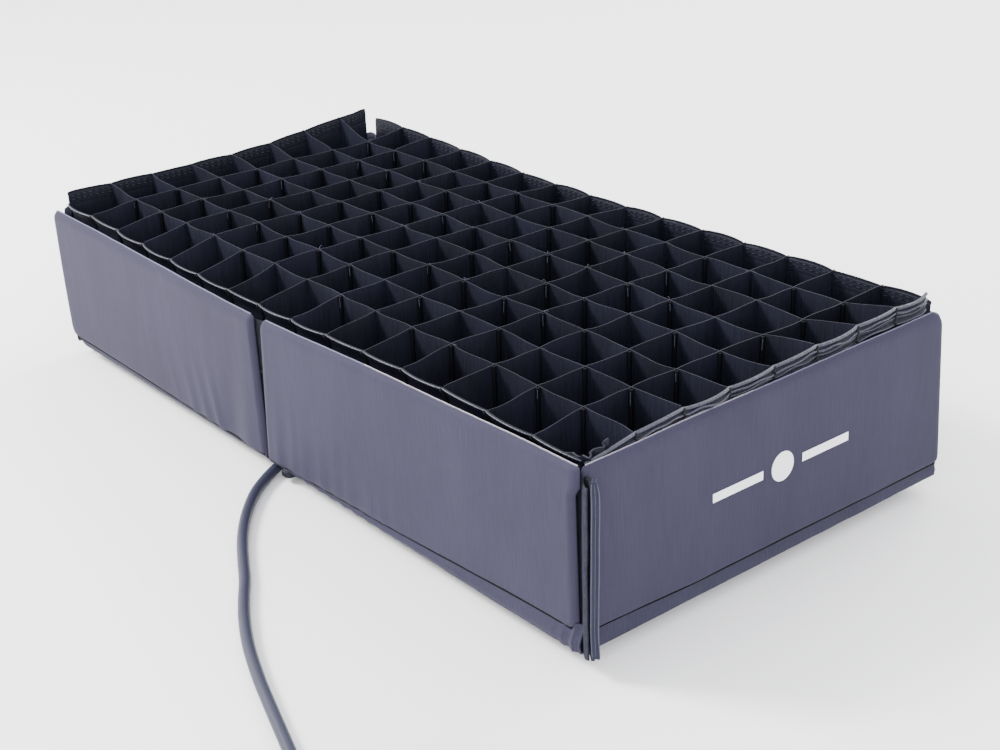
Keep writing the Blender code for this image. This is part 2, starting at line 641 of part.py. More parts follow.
def add_cord():
    """The lead on the surface, its unseen length in a tied coil, and the tail to the plug."""
    entry, tail_top = COIL_BASE + CORD_RADIUS, COIL_BASE + 3 * CORD_RADIUS
    count = len(CORD_ROUTE)
    climb = (entry - CORD_RADIUS) / LIFT_POINTS
    lift = [max(0, i - count + LIFT_POINTS + 1) * climb for i in range(count)]
    lead = [(x, NEAR_SIDE + y, CORD_RADIUS + up) for (x, y), up in zip(CORD_ROUTE, lift)]
    lead[0] = (*along_cord(TOUCH), RELIEF_BASE - CORD_DROP)
    add_tube("cable_lead", smooth_route(lead, 5 * CORD_RADIUS), CORD_RADIUS)
    drop = (tail_top - PLUG_AXIS) / (len(TAIL_ROUTE) - 1)
    tail = [
        (x, NEAR_SIDE + y, max(PLUG_AXIS, tail_top - drop * (i + 1)))
        for i, (x, y) in enumerate(TAIL_ROUTE)
    ]
    add_tube("cable_tail", smooth_route(tail, 2 * CORD_RADIUS), CORD_RADIUS)
    inner, outer = COIL_MID_RADIUS - COIL_HALF_WIDTH, COIL_MID_RADIUS + COIL_HALF_WIDTH
    top = COIL_BASE + COIL_HEIGHT
    ring = turned([(inner, COIL_BASE), (outer, COIL_BASE), (outer, top), (inner, top)], 48)
    ring.transform(Matrix.Translation((*COIL_CENTRE, 0)))
    place("cable_coil", ring, "mat", finishes["cord"])
    add_tie(inner, outer, top)


def add_tie(inner, outer, top):
    """The strap round the coil's turns, on the side away from the lead."""
    reach = (math.sqrt(inner**2 - (TIE_WIDTH / 2) ** 2) - TOUCH * 2, outer + TOUCH)
    strap = block(
        (reach[0] - TIE_THICK, -TIE_WIDTH / 2, 0),
        (reach[1] + TIE_THICK, TIE_WIDTH / 2, top + TOUCH + TIE_THICK),
    )
    hole = block((reach[0], -TIE_WIDTH, TIE_THICK), (reach[1], TIE_WIDTH, top + TOUCH))
    turn = Matrix.Translation((*COIL_CENTRE, 0)) @ Matrix.Rotation(TIE_BEARING, 4, "Z")
    strap.transform(turn)
    hole.transform(turn)
    tie = place("coil_tie", strap, "mat", finishes["pocket"])
    cut(tie, hole, "mat")


def plug_matrix():
    """From a piece along +Z to its place along the plug's axis."""
    return (
        Matrix.Translation((*PLUG_BACK, PLUG_AXIS))
        @ Matrix.Rotation(PLUG_HEADING, 4, "Z")
        @ Matrix.Rotation(math.pi / 2, 4, "Y")
    )


def add_plug():
    """A round screw-lock connector with its coupling ring, beside the coil."""
    ring_start = PLUG_LENGTH - RING_LENGTH - PLUG_NOSE
    ring_end = ring_start + RING_LENGTH
    profile = [
        (0, TOUCH), (CORD_RADIUS + PLUG_COLLAR, TOUCH), (PLUG_RADIUS, PLUG_TAPER),
        (PLUG_RADIUS, ring_start - TOUCH), (PLUG_WAIST, ring_start - TOUCH),
        (PLUG_WAIST, PLUG_LENGTH), (PLUG_WAIST - PLUG_WALL, PLUG_LENGTH),
        (PLUG_WAIST - PLUG_WALL, PLUG_LENGTH - PLUG_BORE), (0, PLUG_LENGTH - PLUG_BORE),
    ]  # fmt: skip
    body = turned(profile, 32)
    body.transform(plug_matrix())
    place("plug_body", body, "mat", finishes["metal"])
    bore = PLUG_WAIST + RING_CLEARANCE
    ring = turned(
        [(bore, ring_start), (RING_RADIUS, ring_start), (RING_RADIUS, ring_end), (bore, ring_end)],
        32,
    )
    ring.transform(plug_matrix())
    place("coupling_ring", ring, "coupling_ring", finishes["metal"])


clear_scene()
parts = new_collection("strip_softbox")
cutters = new_collection("cutters")
cutters.hide_render = True
finishes = {
    "cover": material("wall_cloth", (0.080, 0.078, 0.105), 0.85),
    "board": material("stiffener_board", (0.62, 0.60, 0.55), 0.7),
    "rim": material("rim_cloth", (0.075, 0.073, 0.100), 0.85),
    "gusset": material("gusset_cloth", (0.030, 0.030, 0.042), 0.9),
    "hook": material("hook_tape", (0.045, 0.048, 0.070), 0.95),
    "binding": material("flange_binding", (0.130, 0.140, 0.190), 0.7),
    "led": material("led_mat_face", (0.80, 0.79, 0.74), 0.45),
    "back_cloth": material("mat_back", (0.020, 0.020, 0.022), 0.8),
    "bar": material("spring_bar", (0.30, 0.31, 0.32), 0.4, 0.9),
    "metal": material("hub_metal", (0.35, 0.35, 0.36), 0.35, 0.9),
    "rubber": material("rubber_cap", (0.020, 0.020, 0.021), 0.7),
    "pocket": material("pocket_cloth", (0.030, 0.030, 0.034), 0.85),
    "diffuser": material("diffuser_white", (0.86, 0.86, 0.85), 0.7),
    "grid": material("grid_cloth", (0.010, 0.012, 0.018), 0.8),
    "hem": material("hem_cloth", (0.022, 0.024, 0.033), 0.8),
    "plastic": material("box_plastic", (0.030, 0.030, 0.032), 0.5),
    "cord": material("cord_jacket", (0.100, 0.110, 0.130), 0.45),
}
make_axes()
for wall_name in WALLS:
    add_wall(wall_name)
    add_rim(wall_name)
add_gussets()
add_flanges()
add_mat()
add_cross_frame()
add_hub()
add_junction_box()
add_cord()
add_plug()
add_diffuser()
add_grid()
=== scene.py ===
"""Looks of the strip softbox: cloth walls, egg-crate grid, light mat, cross frame and lead.

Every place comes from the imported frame. Metres, +Z up, +X along the box, +Y away from the near wall.
A wall's own coordinates are s, from its left end as seen from outside, d, inward from its face, and z.
"""

import json
import math
import random

import bmesh
import bpy
from mathutils import Matrix, Vector, noise

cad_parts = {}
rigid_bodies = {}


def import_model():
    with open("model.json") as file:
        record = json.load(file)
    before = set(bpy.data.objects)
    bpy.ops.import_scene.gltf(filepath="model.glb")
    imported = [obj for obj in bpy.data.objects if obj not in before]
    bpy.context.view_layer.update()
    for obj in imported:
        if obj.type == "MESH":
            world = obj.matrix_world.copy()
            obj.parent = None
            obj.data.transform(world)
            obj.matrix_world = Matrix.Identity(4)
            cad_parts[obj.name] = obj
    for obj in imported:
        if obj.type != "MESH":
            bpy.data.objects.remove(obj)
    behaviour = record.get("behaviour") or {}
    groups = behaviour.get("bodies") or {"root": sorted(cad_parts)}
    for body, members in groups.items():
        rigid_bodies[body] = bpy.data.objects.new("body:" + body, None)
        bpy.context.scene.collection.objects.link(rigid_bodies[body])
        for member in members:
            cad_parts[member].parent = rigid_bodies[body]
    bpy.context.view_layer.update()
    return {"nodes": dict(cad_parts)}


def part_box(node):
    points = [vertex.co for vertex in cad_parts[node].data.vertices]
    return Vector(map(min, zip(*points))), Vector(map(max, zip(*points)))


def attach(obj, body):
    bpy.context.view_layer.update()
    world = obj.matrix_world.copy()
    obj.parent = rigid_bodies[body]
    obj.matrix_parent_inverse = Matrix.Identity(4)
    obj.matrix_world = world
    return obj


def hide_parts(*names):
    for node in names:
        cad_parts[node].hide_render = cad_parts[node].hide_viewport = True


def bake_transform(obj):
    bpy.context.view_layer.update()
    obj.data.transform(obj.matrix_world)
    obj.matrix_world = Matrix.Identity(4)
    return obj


noise.seed_set(1)  # noise_vector is seeded by the clock until this is called
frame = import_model()

# The box's outline, from the frame
NEAR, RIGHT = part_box("near_left_cover"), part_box("right_end_cover")
FAR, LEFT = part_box("far_left_cover"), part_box("left_end_cover")
CENTRE = Vector(((LEFT[0][0] + RIGHT[1][0]) / 2, (NEAR[0][1] + FAR[1][1]) / 2, 0))
FLOOR_TO_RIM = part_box("near_left_rim")[0][2]
WALL_TOP = NEAR[1][2]
PANEL = NEAR[1][1] - NEAR[0][1]

# Camera, from the middle of the box's rim
LENS = 59.5
CAMERA_AT = (0.9142, -0.6993, 0.5387)
AZIMUTH, ELEVATION, ROLL = math.radians(51.0), math.radians(24.23), math.radians(-1.81)

# The lead's facts and its route on the surface, from the middle of the near side
CORD_RADIUS = 0.0039
NEAR_SIDE = Vector((CENTRE.x, NEAR[0][1], 0))
CORD_EXIT = (-0.0120, 0.0050)
CORD_HEADING = math.radians(-64)
CORD_ROUTE = [
    (-0.004, -0.010), (0.008, -0.026), (0.023, -0.041), (0.041, -0.056), (0.061, -0.070),
    (0.083, -0.083), (0.106, -0.096), (0.126, -0.109), (0.148, -0.122), (0.174, -0.135),
    (0.206, -0.148), (0.240, -0.160), (0.272, -0.171), (0.302, -0.182), (0.329, -0.193),
    (0.352, -0.202),
]  # fmt: skip
COIL_MID_RADIUS = 0.045
TURN_RADII = (COIL_MID_RADIUS + 2 * CORD_RADIUS, COIL_MID_RADIUS, COIL_MID_RADIUS - 2 * CORD_RADIUS)
TAIL_ROUTE = [(0.4080, -0.2113), (0.4190, -0.2150), (0.4275, -0.2208), (0.4362, -0.2256)]
PLUG_BACK = (0.4440, -0.2275)

# Grid
CELLS_ALONG, CELLS_ACROSS = 15, 8
GRID_DEPTH = 0.042
PER_CELL = 14  # steps along a strip or hem between two crossings
STRIP_THICK = 0.0006


# ---------------------------------------------------------------- materials


def make_material(name, colour, roughness, metallic=0.0, **constants):
    """A Principled material with its fixed values set on the shader's own sockets."""
    made = bpy.data.materials.new(name)
    made.use_nodes = True
    shader = made.node_tree.nodes["Principled BSDF"]
    shader.inputs["Base Color"].default_value = (*colour, 1)
    shader.inputs["Roughness"].default_value = roughness
    shader.inputs["Metallic"].default_value = metallic
    for socket, value in constants.items():
        shader.inputs[socket.replace("_", " ")].default_value = value
    return made


def add_node(made, kind, **inputs):
    node = made.node_tree.nodes.new(kind)
    for socket, value in inputs.items():
        node.inputs[socket.replace("_", " ")].default_value = value
    return node


def wire(made, source, output, target, socket):
    made.node_tree.links.new(source.outputs[output], target.inputs[socket])


def stretched_noise(made, stretch, scale, detail=3.0):
    """Noise in the object's own space, stretched along an axis."""
    place = add_node(made, "ShaderNodeTexCoord")
    mapping = add_node(made, "ShaderNodeMapping", Scale=stretch)
    texture = add_node(made, "ShaderNodeTexNoise", Scale=scale, Detail=detail)
    wire(made, place, "Object", mapping, "Vector")
    wire(made, mapping, "Vector", texture, "Vector")
    return texture


def ramp(made, source, output, stops):
    node = add_node(made, "ShaderNodeValToRGB")
    elements = node.color_ramp.elements
    while len(elements) < len(stops):
        elements.new(0.5)
    for element, (position, colour) in zip(elements, stops):
        element.position = position
        element.color = (*colour, 1)
    wire(made, source, output, node, "Fac")
    return node


def mix_colours(made, kind, factor, a, b):
    """Blends two colour outputs, each given as a node, or as a fixed colour."""
    node = made.node_tree.nodes.new("ShaderNodeMix")
    node.data_type = "RGBA"
    node.blend_type = kind
    if isinstance(factor, tuple):
        made.node_tree.links.new(factor[0].outputs[factor[1]], node.inputs["Factor"])
    else:
        node.inputs["Factor"].default_value = factor
    for index, value in ((6, a), (7, b)):
        if isinstance(value, tuple):
            node.inputs[index].default_value = (*value, 1)
        else:
            output = "Color" if "Color" in value.outputs else 2
            made.node_tree.links.new(value.outputs[output], node.inputs[index])
    return node


def set_bump(made, height, output, strength, distance):
    bump = add_node(made, "ShaderNodeBump", Strength=strength, Distance=distance)
    wire(made, height, output, bump, "Height")
    wire(made, bump, "Normal", made.node_tree.nodes["Principled BSDF"], "Normal")
    return bump


def woven(name, colour, roughness, thread, spread, bump, patch=0.08, **constants):
    """Cloth: fine upright threads crossed by finer flat ones, with a slow change of tone."""
    made = make_material(name, colour, roughness, **constants)
    shader = made.node_tree.nodes["Principled BSDF"]
    upright = stretched_noise(made, (1, 1, 0.045), 1 / thread, 2.0)
    flat = stretched_noise(made, (0.06, 0.06, 1), 1 / thread, 2.0)
    slow = stretched_noise(made, (1, 1, 0.5), 22.0, 3.0)
    dark = tuple(c * (1 - spread) for c in colour)
    light = tuple(c * (1 + spread) for c in colour)
    streaks = ramp(made, upright, "Fac", [(0.30, dark), (0.70, light)])
    crossed = mix_colours(made, "OVERLAY", 0.06, streaks, flat)
    tone = ramp(made, slow, "Fac", [(0.30, (1 - patch,) * 3), (0.70, (1 + patch,) * 3)])
    toned = mix_colours(made, "MULTIPLY", 0.9, crossed, tone)
    made.node_tree.links.new(toned.outputs[2], shader.inputs["Base Color"])
    total = made.node_tree.nodes.new("ShaderNodeMath")
    total.operation = "MULTIPLY_ADD"
    total.inputs[1].default_value = 0.35
    made.node_tree.links.new(flat.outputs["Fac"], total.inputs[0])
    made.node_tree.links.new(upright.outputs["Fac"], total.inputs[2])
    set_bump(made, total, "Value", bump, thread)
    return made


def speckled(name, colour, roughness, scale, spread, bump, metallic=0.0, stretch=(1, 1, 1)):
    """Moulded, cast or drawn surface: fine grain in tone and height."""
    made = make_material(name, colour, roughness, metallic, Specular_IOR_Level=0.25)
    shader = made.node_tree.nodes["Principled BSDF"]
    grain = stretched_noise(made, stretch, scale, 5.0)
    dark, light = (tuple(c * k for c in colour) for k in (1 - spread, 1 + spread))
    tone = ramp(made, grain, "Fac", [(0.3, dark), (0.7, light)])
    wire(made, tone, "Color", shader, "Base Color")
    rough = add_node(made, "ShaderNodeMapRange")
    rough.inputs["To Min"].default_value = roughness - 0.08
    rough.inputs["To Max"].default_value = roughness + 0.08
    wire(made, grain, "Fac", rough, "Value")
    wire(made, rough, "Result", shader, "Roughness")
    set_bump(made, grain, "Fac", bump, 0.0004)
    return made


WALL_COLOUR = (0.0285, 0.0260, 0.0470)
finish = {
    "wall": woven("slate_weave", WALL_COLOUR, 0.70, 0.0009, 0.08, 0.14, Sheen_Weight=0.03,
                  Sheen_Roughness=0.4, Specular_IOR_Level=0.13),
    # A paler stretch along the top edges of two panels
    "edge": speckled("pale_edge_line", (0.30, 0.27, 0.28), 0.7, 900.0, 0.25, 0.3),
    # Painted highlight: the lighter line along the panels' sewn top edges
    "top_edge_highlight": speckled("painted_top_edge_highlight", (0.105, 0.100, 0.155), 0.7, 900.0, 0.25, 0.3),
    "soft_tab": woven("tab_weave", (0.010, 0.010, 0.017), 0.6, 0.0012, 0.2, 0.3, Specular_IOR_Level=0.2),
    # Near-black painted shade: the shadow line under each panel, and the shade on the grid's sewn crossing
    # folds
    "fold": woven("painted_shade_near_black", (0.0016, 0.0017, 0.0034), 0.7, 0.0010, 0.3, 0.3, Specular_IOR_Level=0.1),
    "dim_thread": speckled("dim_thread", (0.022, 0.022, 0.034), 0.6, 1500.0, 0.2, 0.3),
    "roll": woven("hem_roll_highlight", (0.027, 0.027, 0.043), 0.45, 0.0012, 0.3, 0.4, Specular_IOR_Level=0.4),
    # Painted highlight: lighter than the hem cloth, for the hems' rolled edges and the right hem's piping
    "piping": speckled("flange_piping", (0.050, 0.053, 0.085), 0.55, 1300.0, 0.2, 0.4),
    "rim": woven("rim_weave", (0.0245, 0.0228, 0.0420), 0.70, 0.0011, 0.10, 0.25,
                 Sheen_Weight=0.03, Specular_IOR_Level=0.13),
    "gusset": woven("gusset_weave", (0.0050, 0.0050, 0.0090), 0.7, 0.0010, 0.2, 0.4,
                    Specular_IOR_Level=0.2),
    "grid": woven("grid_weave", (0.0066, 0.0071, 0.0145), 0.58, 0.0010, 0.30, 0.30, 0.35,
                  Specular_IOR_Level=0.18),
    "hem": woven("hem_weave", (0.0062, 0.0066, 0.0130), 0.50, 0.0012, 0.2, 0.35,
                 Specular_IOR_Level=0.16),
    "binding": woven("binding_weave", (0.0150, 0.0155, 0.0300), 0.60, 0.0008, 0.25, 0.5,
                     Specular_IOR_Level=0.2),
    "hook": speckled("hook_tape", (0.008, 0.0085, 0.014), 0.9, 1400.0, 0.5, 0.9),
    "frayed": speckled("frayed_tape", (0.013, 0.0135, 0.025), 0.9, 1600.0, 0.55, 0.9,
                       stretch=(1, 1, 0.3)),
    "back": woven("mat_back_weave", (0.018, 0.018, 0.021), 0.75, 0.0010, 0.3, 0.5),
    "pocket": woven("pocket_webbing", (0.024, 0.024, 0.029), 0.7, 0.0014, 0.3, 0.7),
    "diffuser": woven("diffuser_weave", (0.84, 0.84, 0.83), 0.7, 0.0007, 0.03, 0.25),
    "board": speckled("fibre_board", (0.52, 0.50, 0.46), 0.8, 260.0, 0.12, 0.2),
    "led_face": speckled("mat_coating", (0.80, 0.79, 0.75), 0.45, 500.0, 0.02, 0.08),
    "led": speckled("led_package", (0.86, 0.72, 0.24), 0.35, 900.0, 0.05, 0.05),
    "steel": speckled("spring_steel", (0.33, 0.34, 0.35), 0.34, 240.0, 0.12, 0.10, 0.95,
                      (0.05, 0.05, 1)),
    "metal": speckled("anodised_metal", (0.075, 0.075, 0.080), 0.38, 600.0, 0.15, 0.10, 0.85),
    "rubber": speckled("moulded_rubber", (0.022, 0.022, 0.024), 0.62, 900.0, 0.2, 0.25),
    "plastic": speckled("moulded_plastic", (0.028, 0.028, 0.031), 0.48, 1200.0, 0.15, 0.20),
    "jacket": speckled("lead_jacket", (0.029, 0.0305, 0.052), 0.45, 700.0, 0.08, 0.12),
    "thread": speckled("stitch_thread", (0.006, 0.006, 0.008), 0.7, 1500.0, 0.2, 0.3),
    "pale_thread": speckled("pale_thread", (0.05, 0.05, 0.08), 0.6, 1500.0, 0.2, 0.3),
    "print": speckled("printed_white", (0.82, 0.82, 0.84), 0.55, 700.0, 0.02, 0.10),
}  # fmt: skip


# ---------------------------------------------------------------- mesh helpers

SHEET_ANGLE = 50  # degrees, the sharpest bend in a sheet that is still shaded smooth


def link(thing):
    bpy.context.scene.collection.objects.link(thing)
    return thing


def new_piece(name, shape, material, body, node=None, smooth_angle=40):
    """Makes an object from a bmesh, with a material and slot, riding on a body, in place of a node."""
    bmesh.ops.recalc_face_normals(shape, faces=shape.faces)
    mesh = bpy.data.meshes.new(name)
    shape.to_mesh(mesh)
    shape.free()
    mesh.shade_smooth()
    mesh.set_sharp_from_angle(angle=math.radians(smooth_angle))
    mesh.materials.append(finish[material])
    piece = link(bpy.data.objects.new(name, mesh))
    if body:
        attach(piece, body)
    if node:
        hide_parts(node)
    return piece


def grid_faces(shape, rows, wrap=False):
    """Quads between rows of points; wrap closes each row on itself."""
    made = [[shape.verts.new(point) for point in row] for row in rows]
    count = len(rows[0])
    for lower, upper in zip(made, made[1:]):
        for i in range(count if wrap else count - 1):
            j = (i + 1) % count
            shape.faces.new((lower[i], lower[j], upper[j], upper[i]))
    return made


def sheet_piece(name, rows, thick, material, body, node=None):
    """An open sheet of points, given its thickness."""
    shape = bmesh.new()
    grid_faces(shape, rows)
    piece = new_piece(name, shape, material, body, node, SHEET_ANGLE)
    return thicken(piece, thick, 0.0)


def thicken(piece, thick, offset):
    """Gives a sheet its thickness by Solidify, which is applied."""
    solidify = piece.modifiers.new("thickness", "SOLIDIFY")
    solidify.thickness = thick
    solidify.offset = offset
    solidify.use_even_offset = False
    graph = bpy.context.evaluated_depsgraph_get()
    made = bpy.data.meshes.new_from_object(piece.evaluated_get(graph))
    piece.modifiers.clear()
    piece.data = made
    made.shade_smooth()
    made.set_sharp_from_angle(angle=math.radians(SHEET_ANGLE))
    return piece


def tube_faces(shape, points, radius, sides):
    """A closed round tube through points, added to a bmesh."""
    rows = []
    for i, point in enumerate(points):
        point = Vector(point)
        ahead = Vector(points[min(i + 1, len(points) - 1)]) - Vector(points[max(i - 1, 0)])
        ahead.normalize()
        side = ahead.cross(Vector((0.13, 0.37, 0.92))).normalized()
        up = side.cross(ahead)
        rows.append([
            point + radius * (math.cos(a) * side + math.sin(a) * up)
            for a in (2 * math.pi * k / sides for k in range(sides))
        ])  # fmt: skip
    made = grid_faces(shape, rows, wrap=True)
    shape.faces.new(list(reversed(made[0])))
    shape.faces.new(made[-1])


def tube_piece(name, paths, material, body, sides=6):
    """Closed round tubes, each given as (points, radius), as one piece."""
    shape = bmesh.new()
    for points, radius in paths:
        tube_faces(shape, points, radius, sides)
    return new_piece(name, shape, material, body)


def ease(value):
    """A smooth step from 0 to 1."""
    value = min(1.0, max(0.0, value))
    return value * value * (3 - 2 * value)


def bump_at(value, middle, width):
    """A smooth hump of height 1."""
    return math.exp(-(((value - middle) / width) ** 2))


def through(points, x):
    """A height read from a few given (place, height) points, eased between them."""
    if x <= points[0][0]:
        return points[0][1]
    for (x0, y0), (x1, y1) in zip(points, points[1:]):
        if x <= x1:
            return y0 + (y1 - y0) * ease((x - x0) / (x1 - x0))
    return points[-1][1]


# ---------------------------------------------------------------- camera, light and stage


def add_camera():
    right = Vector((math.cos(AZIMUTH), math.sin(AZIMUTH), 0))
    level = Vector((-math.sin(AZIMUTH), math.cos(AZIMUTH), 0))
    forward = level * math.cos(ELEVATION) - Vector((0, 0, math.sin(ELEVATION)))
    up = right.cross(forward)
    turned_right = right * math.cos(ROLL) + up * math.sin(ROLL)
    turned_up = turned_right.cross(forward)
    data = bpy.data.cameras.new("camera")
    data.lens = LENS
    data.sensor_width = 36
    data.clip_start = 0.01
    camera = link(bpy.data.objects.new("camera", data))
    axes = Matrix((turned_right, turned_up, -forward)).transposed().to_4x4()
    place = CENTRE + Vector(CAMERA_AT) + Vector((0, 0, FLOOR_TO_RIM))
    camera.matrix_world = Matrix.Translation(place) @ axes
    bpy.context.scene.camera = camera


def add_light(name, place, size, watts, colour, target=(0, 0, 0.08)):
    data = bpy.data.lights.new(name, "AREA")
    data.shape = "SQUARE"
    data.size = size
    data.energy = watts
    data.color = colour
    lamp = link(bpy.data.objects.new(name, data))
    lamp.location = CENTRE + Vector(place)
    aim = CENTRE + Vector(target) - lamp.location
    lamp.rotation_euler = aim.to_track_quat("-Z", "Y").to_euler()


def add_stage():
    shape = bmesh.new()
    bmesh.ops.create_grid(shape, x_segments=1, y_segments=1, size=8)
    bmesh.ops.translate(shape, verts=shape.verts, vec=(0, 0, -0.0005))
    mesh = bpy.data.meshes.new("floor")
    shape.to_mesh(mesh)
    shape.free()
    mesh.materials.append(make_material("pale_floor", (0.97, 0.97, 0.98), 0.9))
    floor = link(bpy.data.objects.new("floor", mesh))
    world = bpy.data.worlds.new("soft_white")
    world.use_nodes = True
    world.node_tree.nodes["Background"].inputs["Color"].default_value = (0.97, 0.98, 1.0, 1)
    world.node_tree.nodes["Background"].inputs["Strength"].default_value = 2.1
    bpy.context.scene.world = world
    add_light("key", (-1.5, -1.3, 1.7), 0.7, 138, (1.0, 0.99, 0.98))
    add_light("fill", (2.0, -1.4, 1.1), 1.6, 48, (0.96, 0.97, 1.0))
    add_light("back", (-0.3, 2.2, 1.6), 1.4, 62, (0.97, 0.98, 1.0))


# ---------------------------------------------------------------- lead


def smooth_points(points, steps):
    """Points on a Catmull-Rom curve through the route's own points."""
    points = [Vector(point) for point in points]
    ends = [points[0] * 2 - points[1], *points, points[-1] * 2 - points[-2]]
    fine = []
    for a, b, c, d in zip(ends, ends[1:], ends[2:], ends[3:]):
        for step in range(steps):
            t = step / steps
            curve = b * 2 + (c - a) * t + (a * 2 - b * 5 + c * 4 - d) * t**2
            fine.append((curve + (b * 3 - a - c * 3 + d) * t**3) / 2)
    return [*fine, points[-1]]


def coil_points(centre, base):
    """The turns of the coil: inward along the bottom layer, then outward along the top one."""
    low, high = base + CORD_RADIUS, base + 3 * CORD_RADIUS
    levels = [(r, low) for r in TURN_RADII] + [(r, high) for r in reversed(TURN_RADII)]
    steps = 36
    points = []
    for turn, (radius, height) in enumerate(levels):
        following = levels[turn + 1] if turn + 1 < len(levels) else (radius, height)
        for step in range(steps):
            part = ease((step / steps - 0.70) / 0.30)
            r = radius + (following[0] - radius) * part
            z = height + (following[1] - height) * part
            angle = -math.pi / 2 + 2 * math.pi * step / steps
            points.append((centre.x + r * math.cos(angle), centre.y + r * math.sin(angle), z))
    last = levels[-1]
    points.append((centre.x, centre.y - last[0], last[1]))
    return points


def add_cord():
    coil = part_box("cable_coil")
    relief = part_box("strain_relief")
    middle = (Vector(coil[0]) + Vector(coil[1])) / 2
    base = coil[0][2]
    entry, top = base + CORD_RADIUS, base + 3 * CORD_RADIUS
    heading = Vector((math.cos(CORD_HEADING), math.sin(CORD_HEADING), 0))
    leave = NEAR_SIDE + Vector((*CORD_EXIT, (relief[0][2] + relief[1][2]) / 2 - 0.0002))
    start = leave + heading * 0.0003
    lead = [start, start + heading * 0.006 - Vector((0, 0, 0.0002))]
    for x, y in CORD_ROUTE[:-2]:
        lead.append(NEAR_SIDE + Vector((x, y, CORD_RADIUS)))
    for (x, y), part in zip(CORD_ROUTE[-2:], (0.4, 0.9)):
        lead.append(NEAR_SIDE + Vector((x, y, CORD_RADIUS + (entry - CORD_RADIUS) * part)))
    turns = [Vector(point) for point in coil_points(middle, base)]
    plug_axis = (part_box("plug_body")[0][2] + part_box("plug_body")[1][2]) / 2
    tail = []
    for i, (x, y) in enumerate(TAIL_ROUTE):
        height = top + (plug_axis - top) * ease((i + 1) / (len(TAIL_ROUTE) + 1))
        tail.append(NEAR_SIDE + Vector((x, y, height)))
    tail.append(NEAR_SIDE + Vector((*PLUG_BACK, plug_axis)))
    lead = smooth_points(lead + turns[:1], 5)[:-1]
    tail = smooth_points([turns[-1]] + tail, 5)[1:]
    route = lead + turns + tail
    curve = bpy.data.curves.new("power_lead", "CURVE")
    curve.dimensions = "3D"
    curve.bevel_depth = CORD_RADIUS
    curve.bevel_resolution = 4
    curve.use_fill_caps = True
    spline = curve.splines.new("POLY")
    spline.points.add(len(route) - 1)
    for target, point in zip(spline.points, route):
        target.co = (*point, 1)
    curve.materials.append(finish["jacket"])
    cord = link(bpy.data.objects.new("power_lead", curve))
    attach(cord, "mat")
    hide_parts("cable_lead", "cable_coil", "cable_tail")
    strap = sewn("coil_tie", "coil_tie_strap", "pocket", "mat", 0.004, 0.00015)


# ---------------------------------------------------------------- walls

WALLS = ("near_left", "near_right", "far_left", "far_right", "left_end", "right_end")
LONG_SIDES = ("near", "far")
LEAN = {"near": 0.003, "far": 0.003, "left": 0.001, "right": -0.0015}
BOTTOM = {
    "near_left": [(0.0, 0.006), (0.30, 0.004)],
    "near_right": [(0.0, 0.003), (0.10, 0.006), (0.32, 0.014)],
    "far_left": [(0.0, 0.008), (0.30, 0.005)],
    "far_right": [(0.0, 0.009), (0.32, 0.006)],
    "left_end": [(0.0, 0.009), (0.31, 0.009)],
    "right_end": [(0.0, 0.014), (0.10, 0.011), (0.31, 0.010)],
}
TOP = {
    "near_left": [(0.0, 0.117), (0.30, 0.115)],
    "near_right": [(0.0, 0.116), (0.15, 0.120), (0.32, 0.1225)],
    "far_left": [(0.0, 0.117), (0.30, 0.117)],
    "far_right": [(0.0, 0.118), (0.32, 0.117)],
    "left_end": [(0.0, 0.1175), (0.31, 0.117)],
    "right_end": [(0.0, 0.120), (0.10, 0.122), (0.31, 0.124)],
}
# Rounding of each panel's corners: top at its start and end, bottom at its start and end
ROUND = {
    "near_left": (0.0060, 0.0030, 0.0090, 0.0040),
    "near_right": (0.0060, 0.0015, 0.0040, 0.0060),
    "far_left": (0.0060, 0.0060, 0.0040, 0.0060),
    "far_right": (0.0060, 0.0060, 0.0060, 0.0040),
    "left_end": (0.0060, 0.0030, 0.0060, 0.0060),
    "right_end": (0.0030, 0.0110, 0.0040, 0.0060),
}


WALL_BOX = {wall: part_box(wall + "_cover") for wall in WALLS}


def side_of(wall):
    return {"left_end": "left", "right_end": "right"}.get(wall, wall.split("_")[0])


def wall_span(wall):
    """A wall's length along itself."""
    low, high = WALL_BOX[wall]
    return (high[0] - low[0]) if side_of(wall) in LONG_SIDES else (high[1] - low[1])


def wall_point(wall, s, d, z):
    """From a wall's own coordinates to the frame's."""
    low, high = WALL_BOX[wall]
    side = side_of(wall)
    if side == "near":
        return Vector((low[0] + s, low[1] + d, z))
    if side == "far":
        return Vector((high[0] - s, high[1] - d, z))
    if side == "left":
        return Vector((low[0] + d, high[1] - s, z))
    return Vector((high[0] - d, low[1] + s, z))


def share_up(z):
    """A height as a share of the walls' own, from 0 at the underside to 1 at the top."""
    return (z - FLOOR_TO_RIM) / (WALL_TOP - FLOOR_TO_RIM)


def lean_at(wall, s, z):
    """How far outward a wall's middle plane stands at a height, with the long walls' slow bow."""
    part = share_up(z)
    outward = LEAN[side_of(wall)] * part
    if side_of(wall) in LONG_SIDES:
        length = wall_span(wall)
        to_fold = s if wall in ("near_right", "far_left") else length - s
        outward += 0.0028 * (1 - ease(to_fold / length)) * (0.35 + 0.65 * part)
    return outward


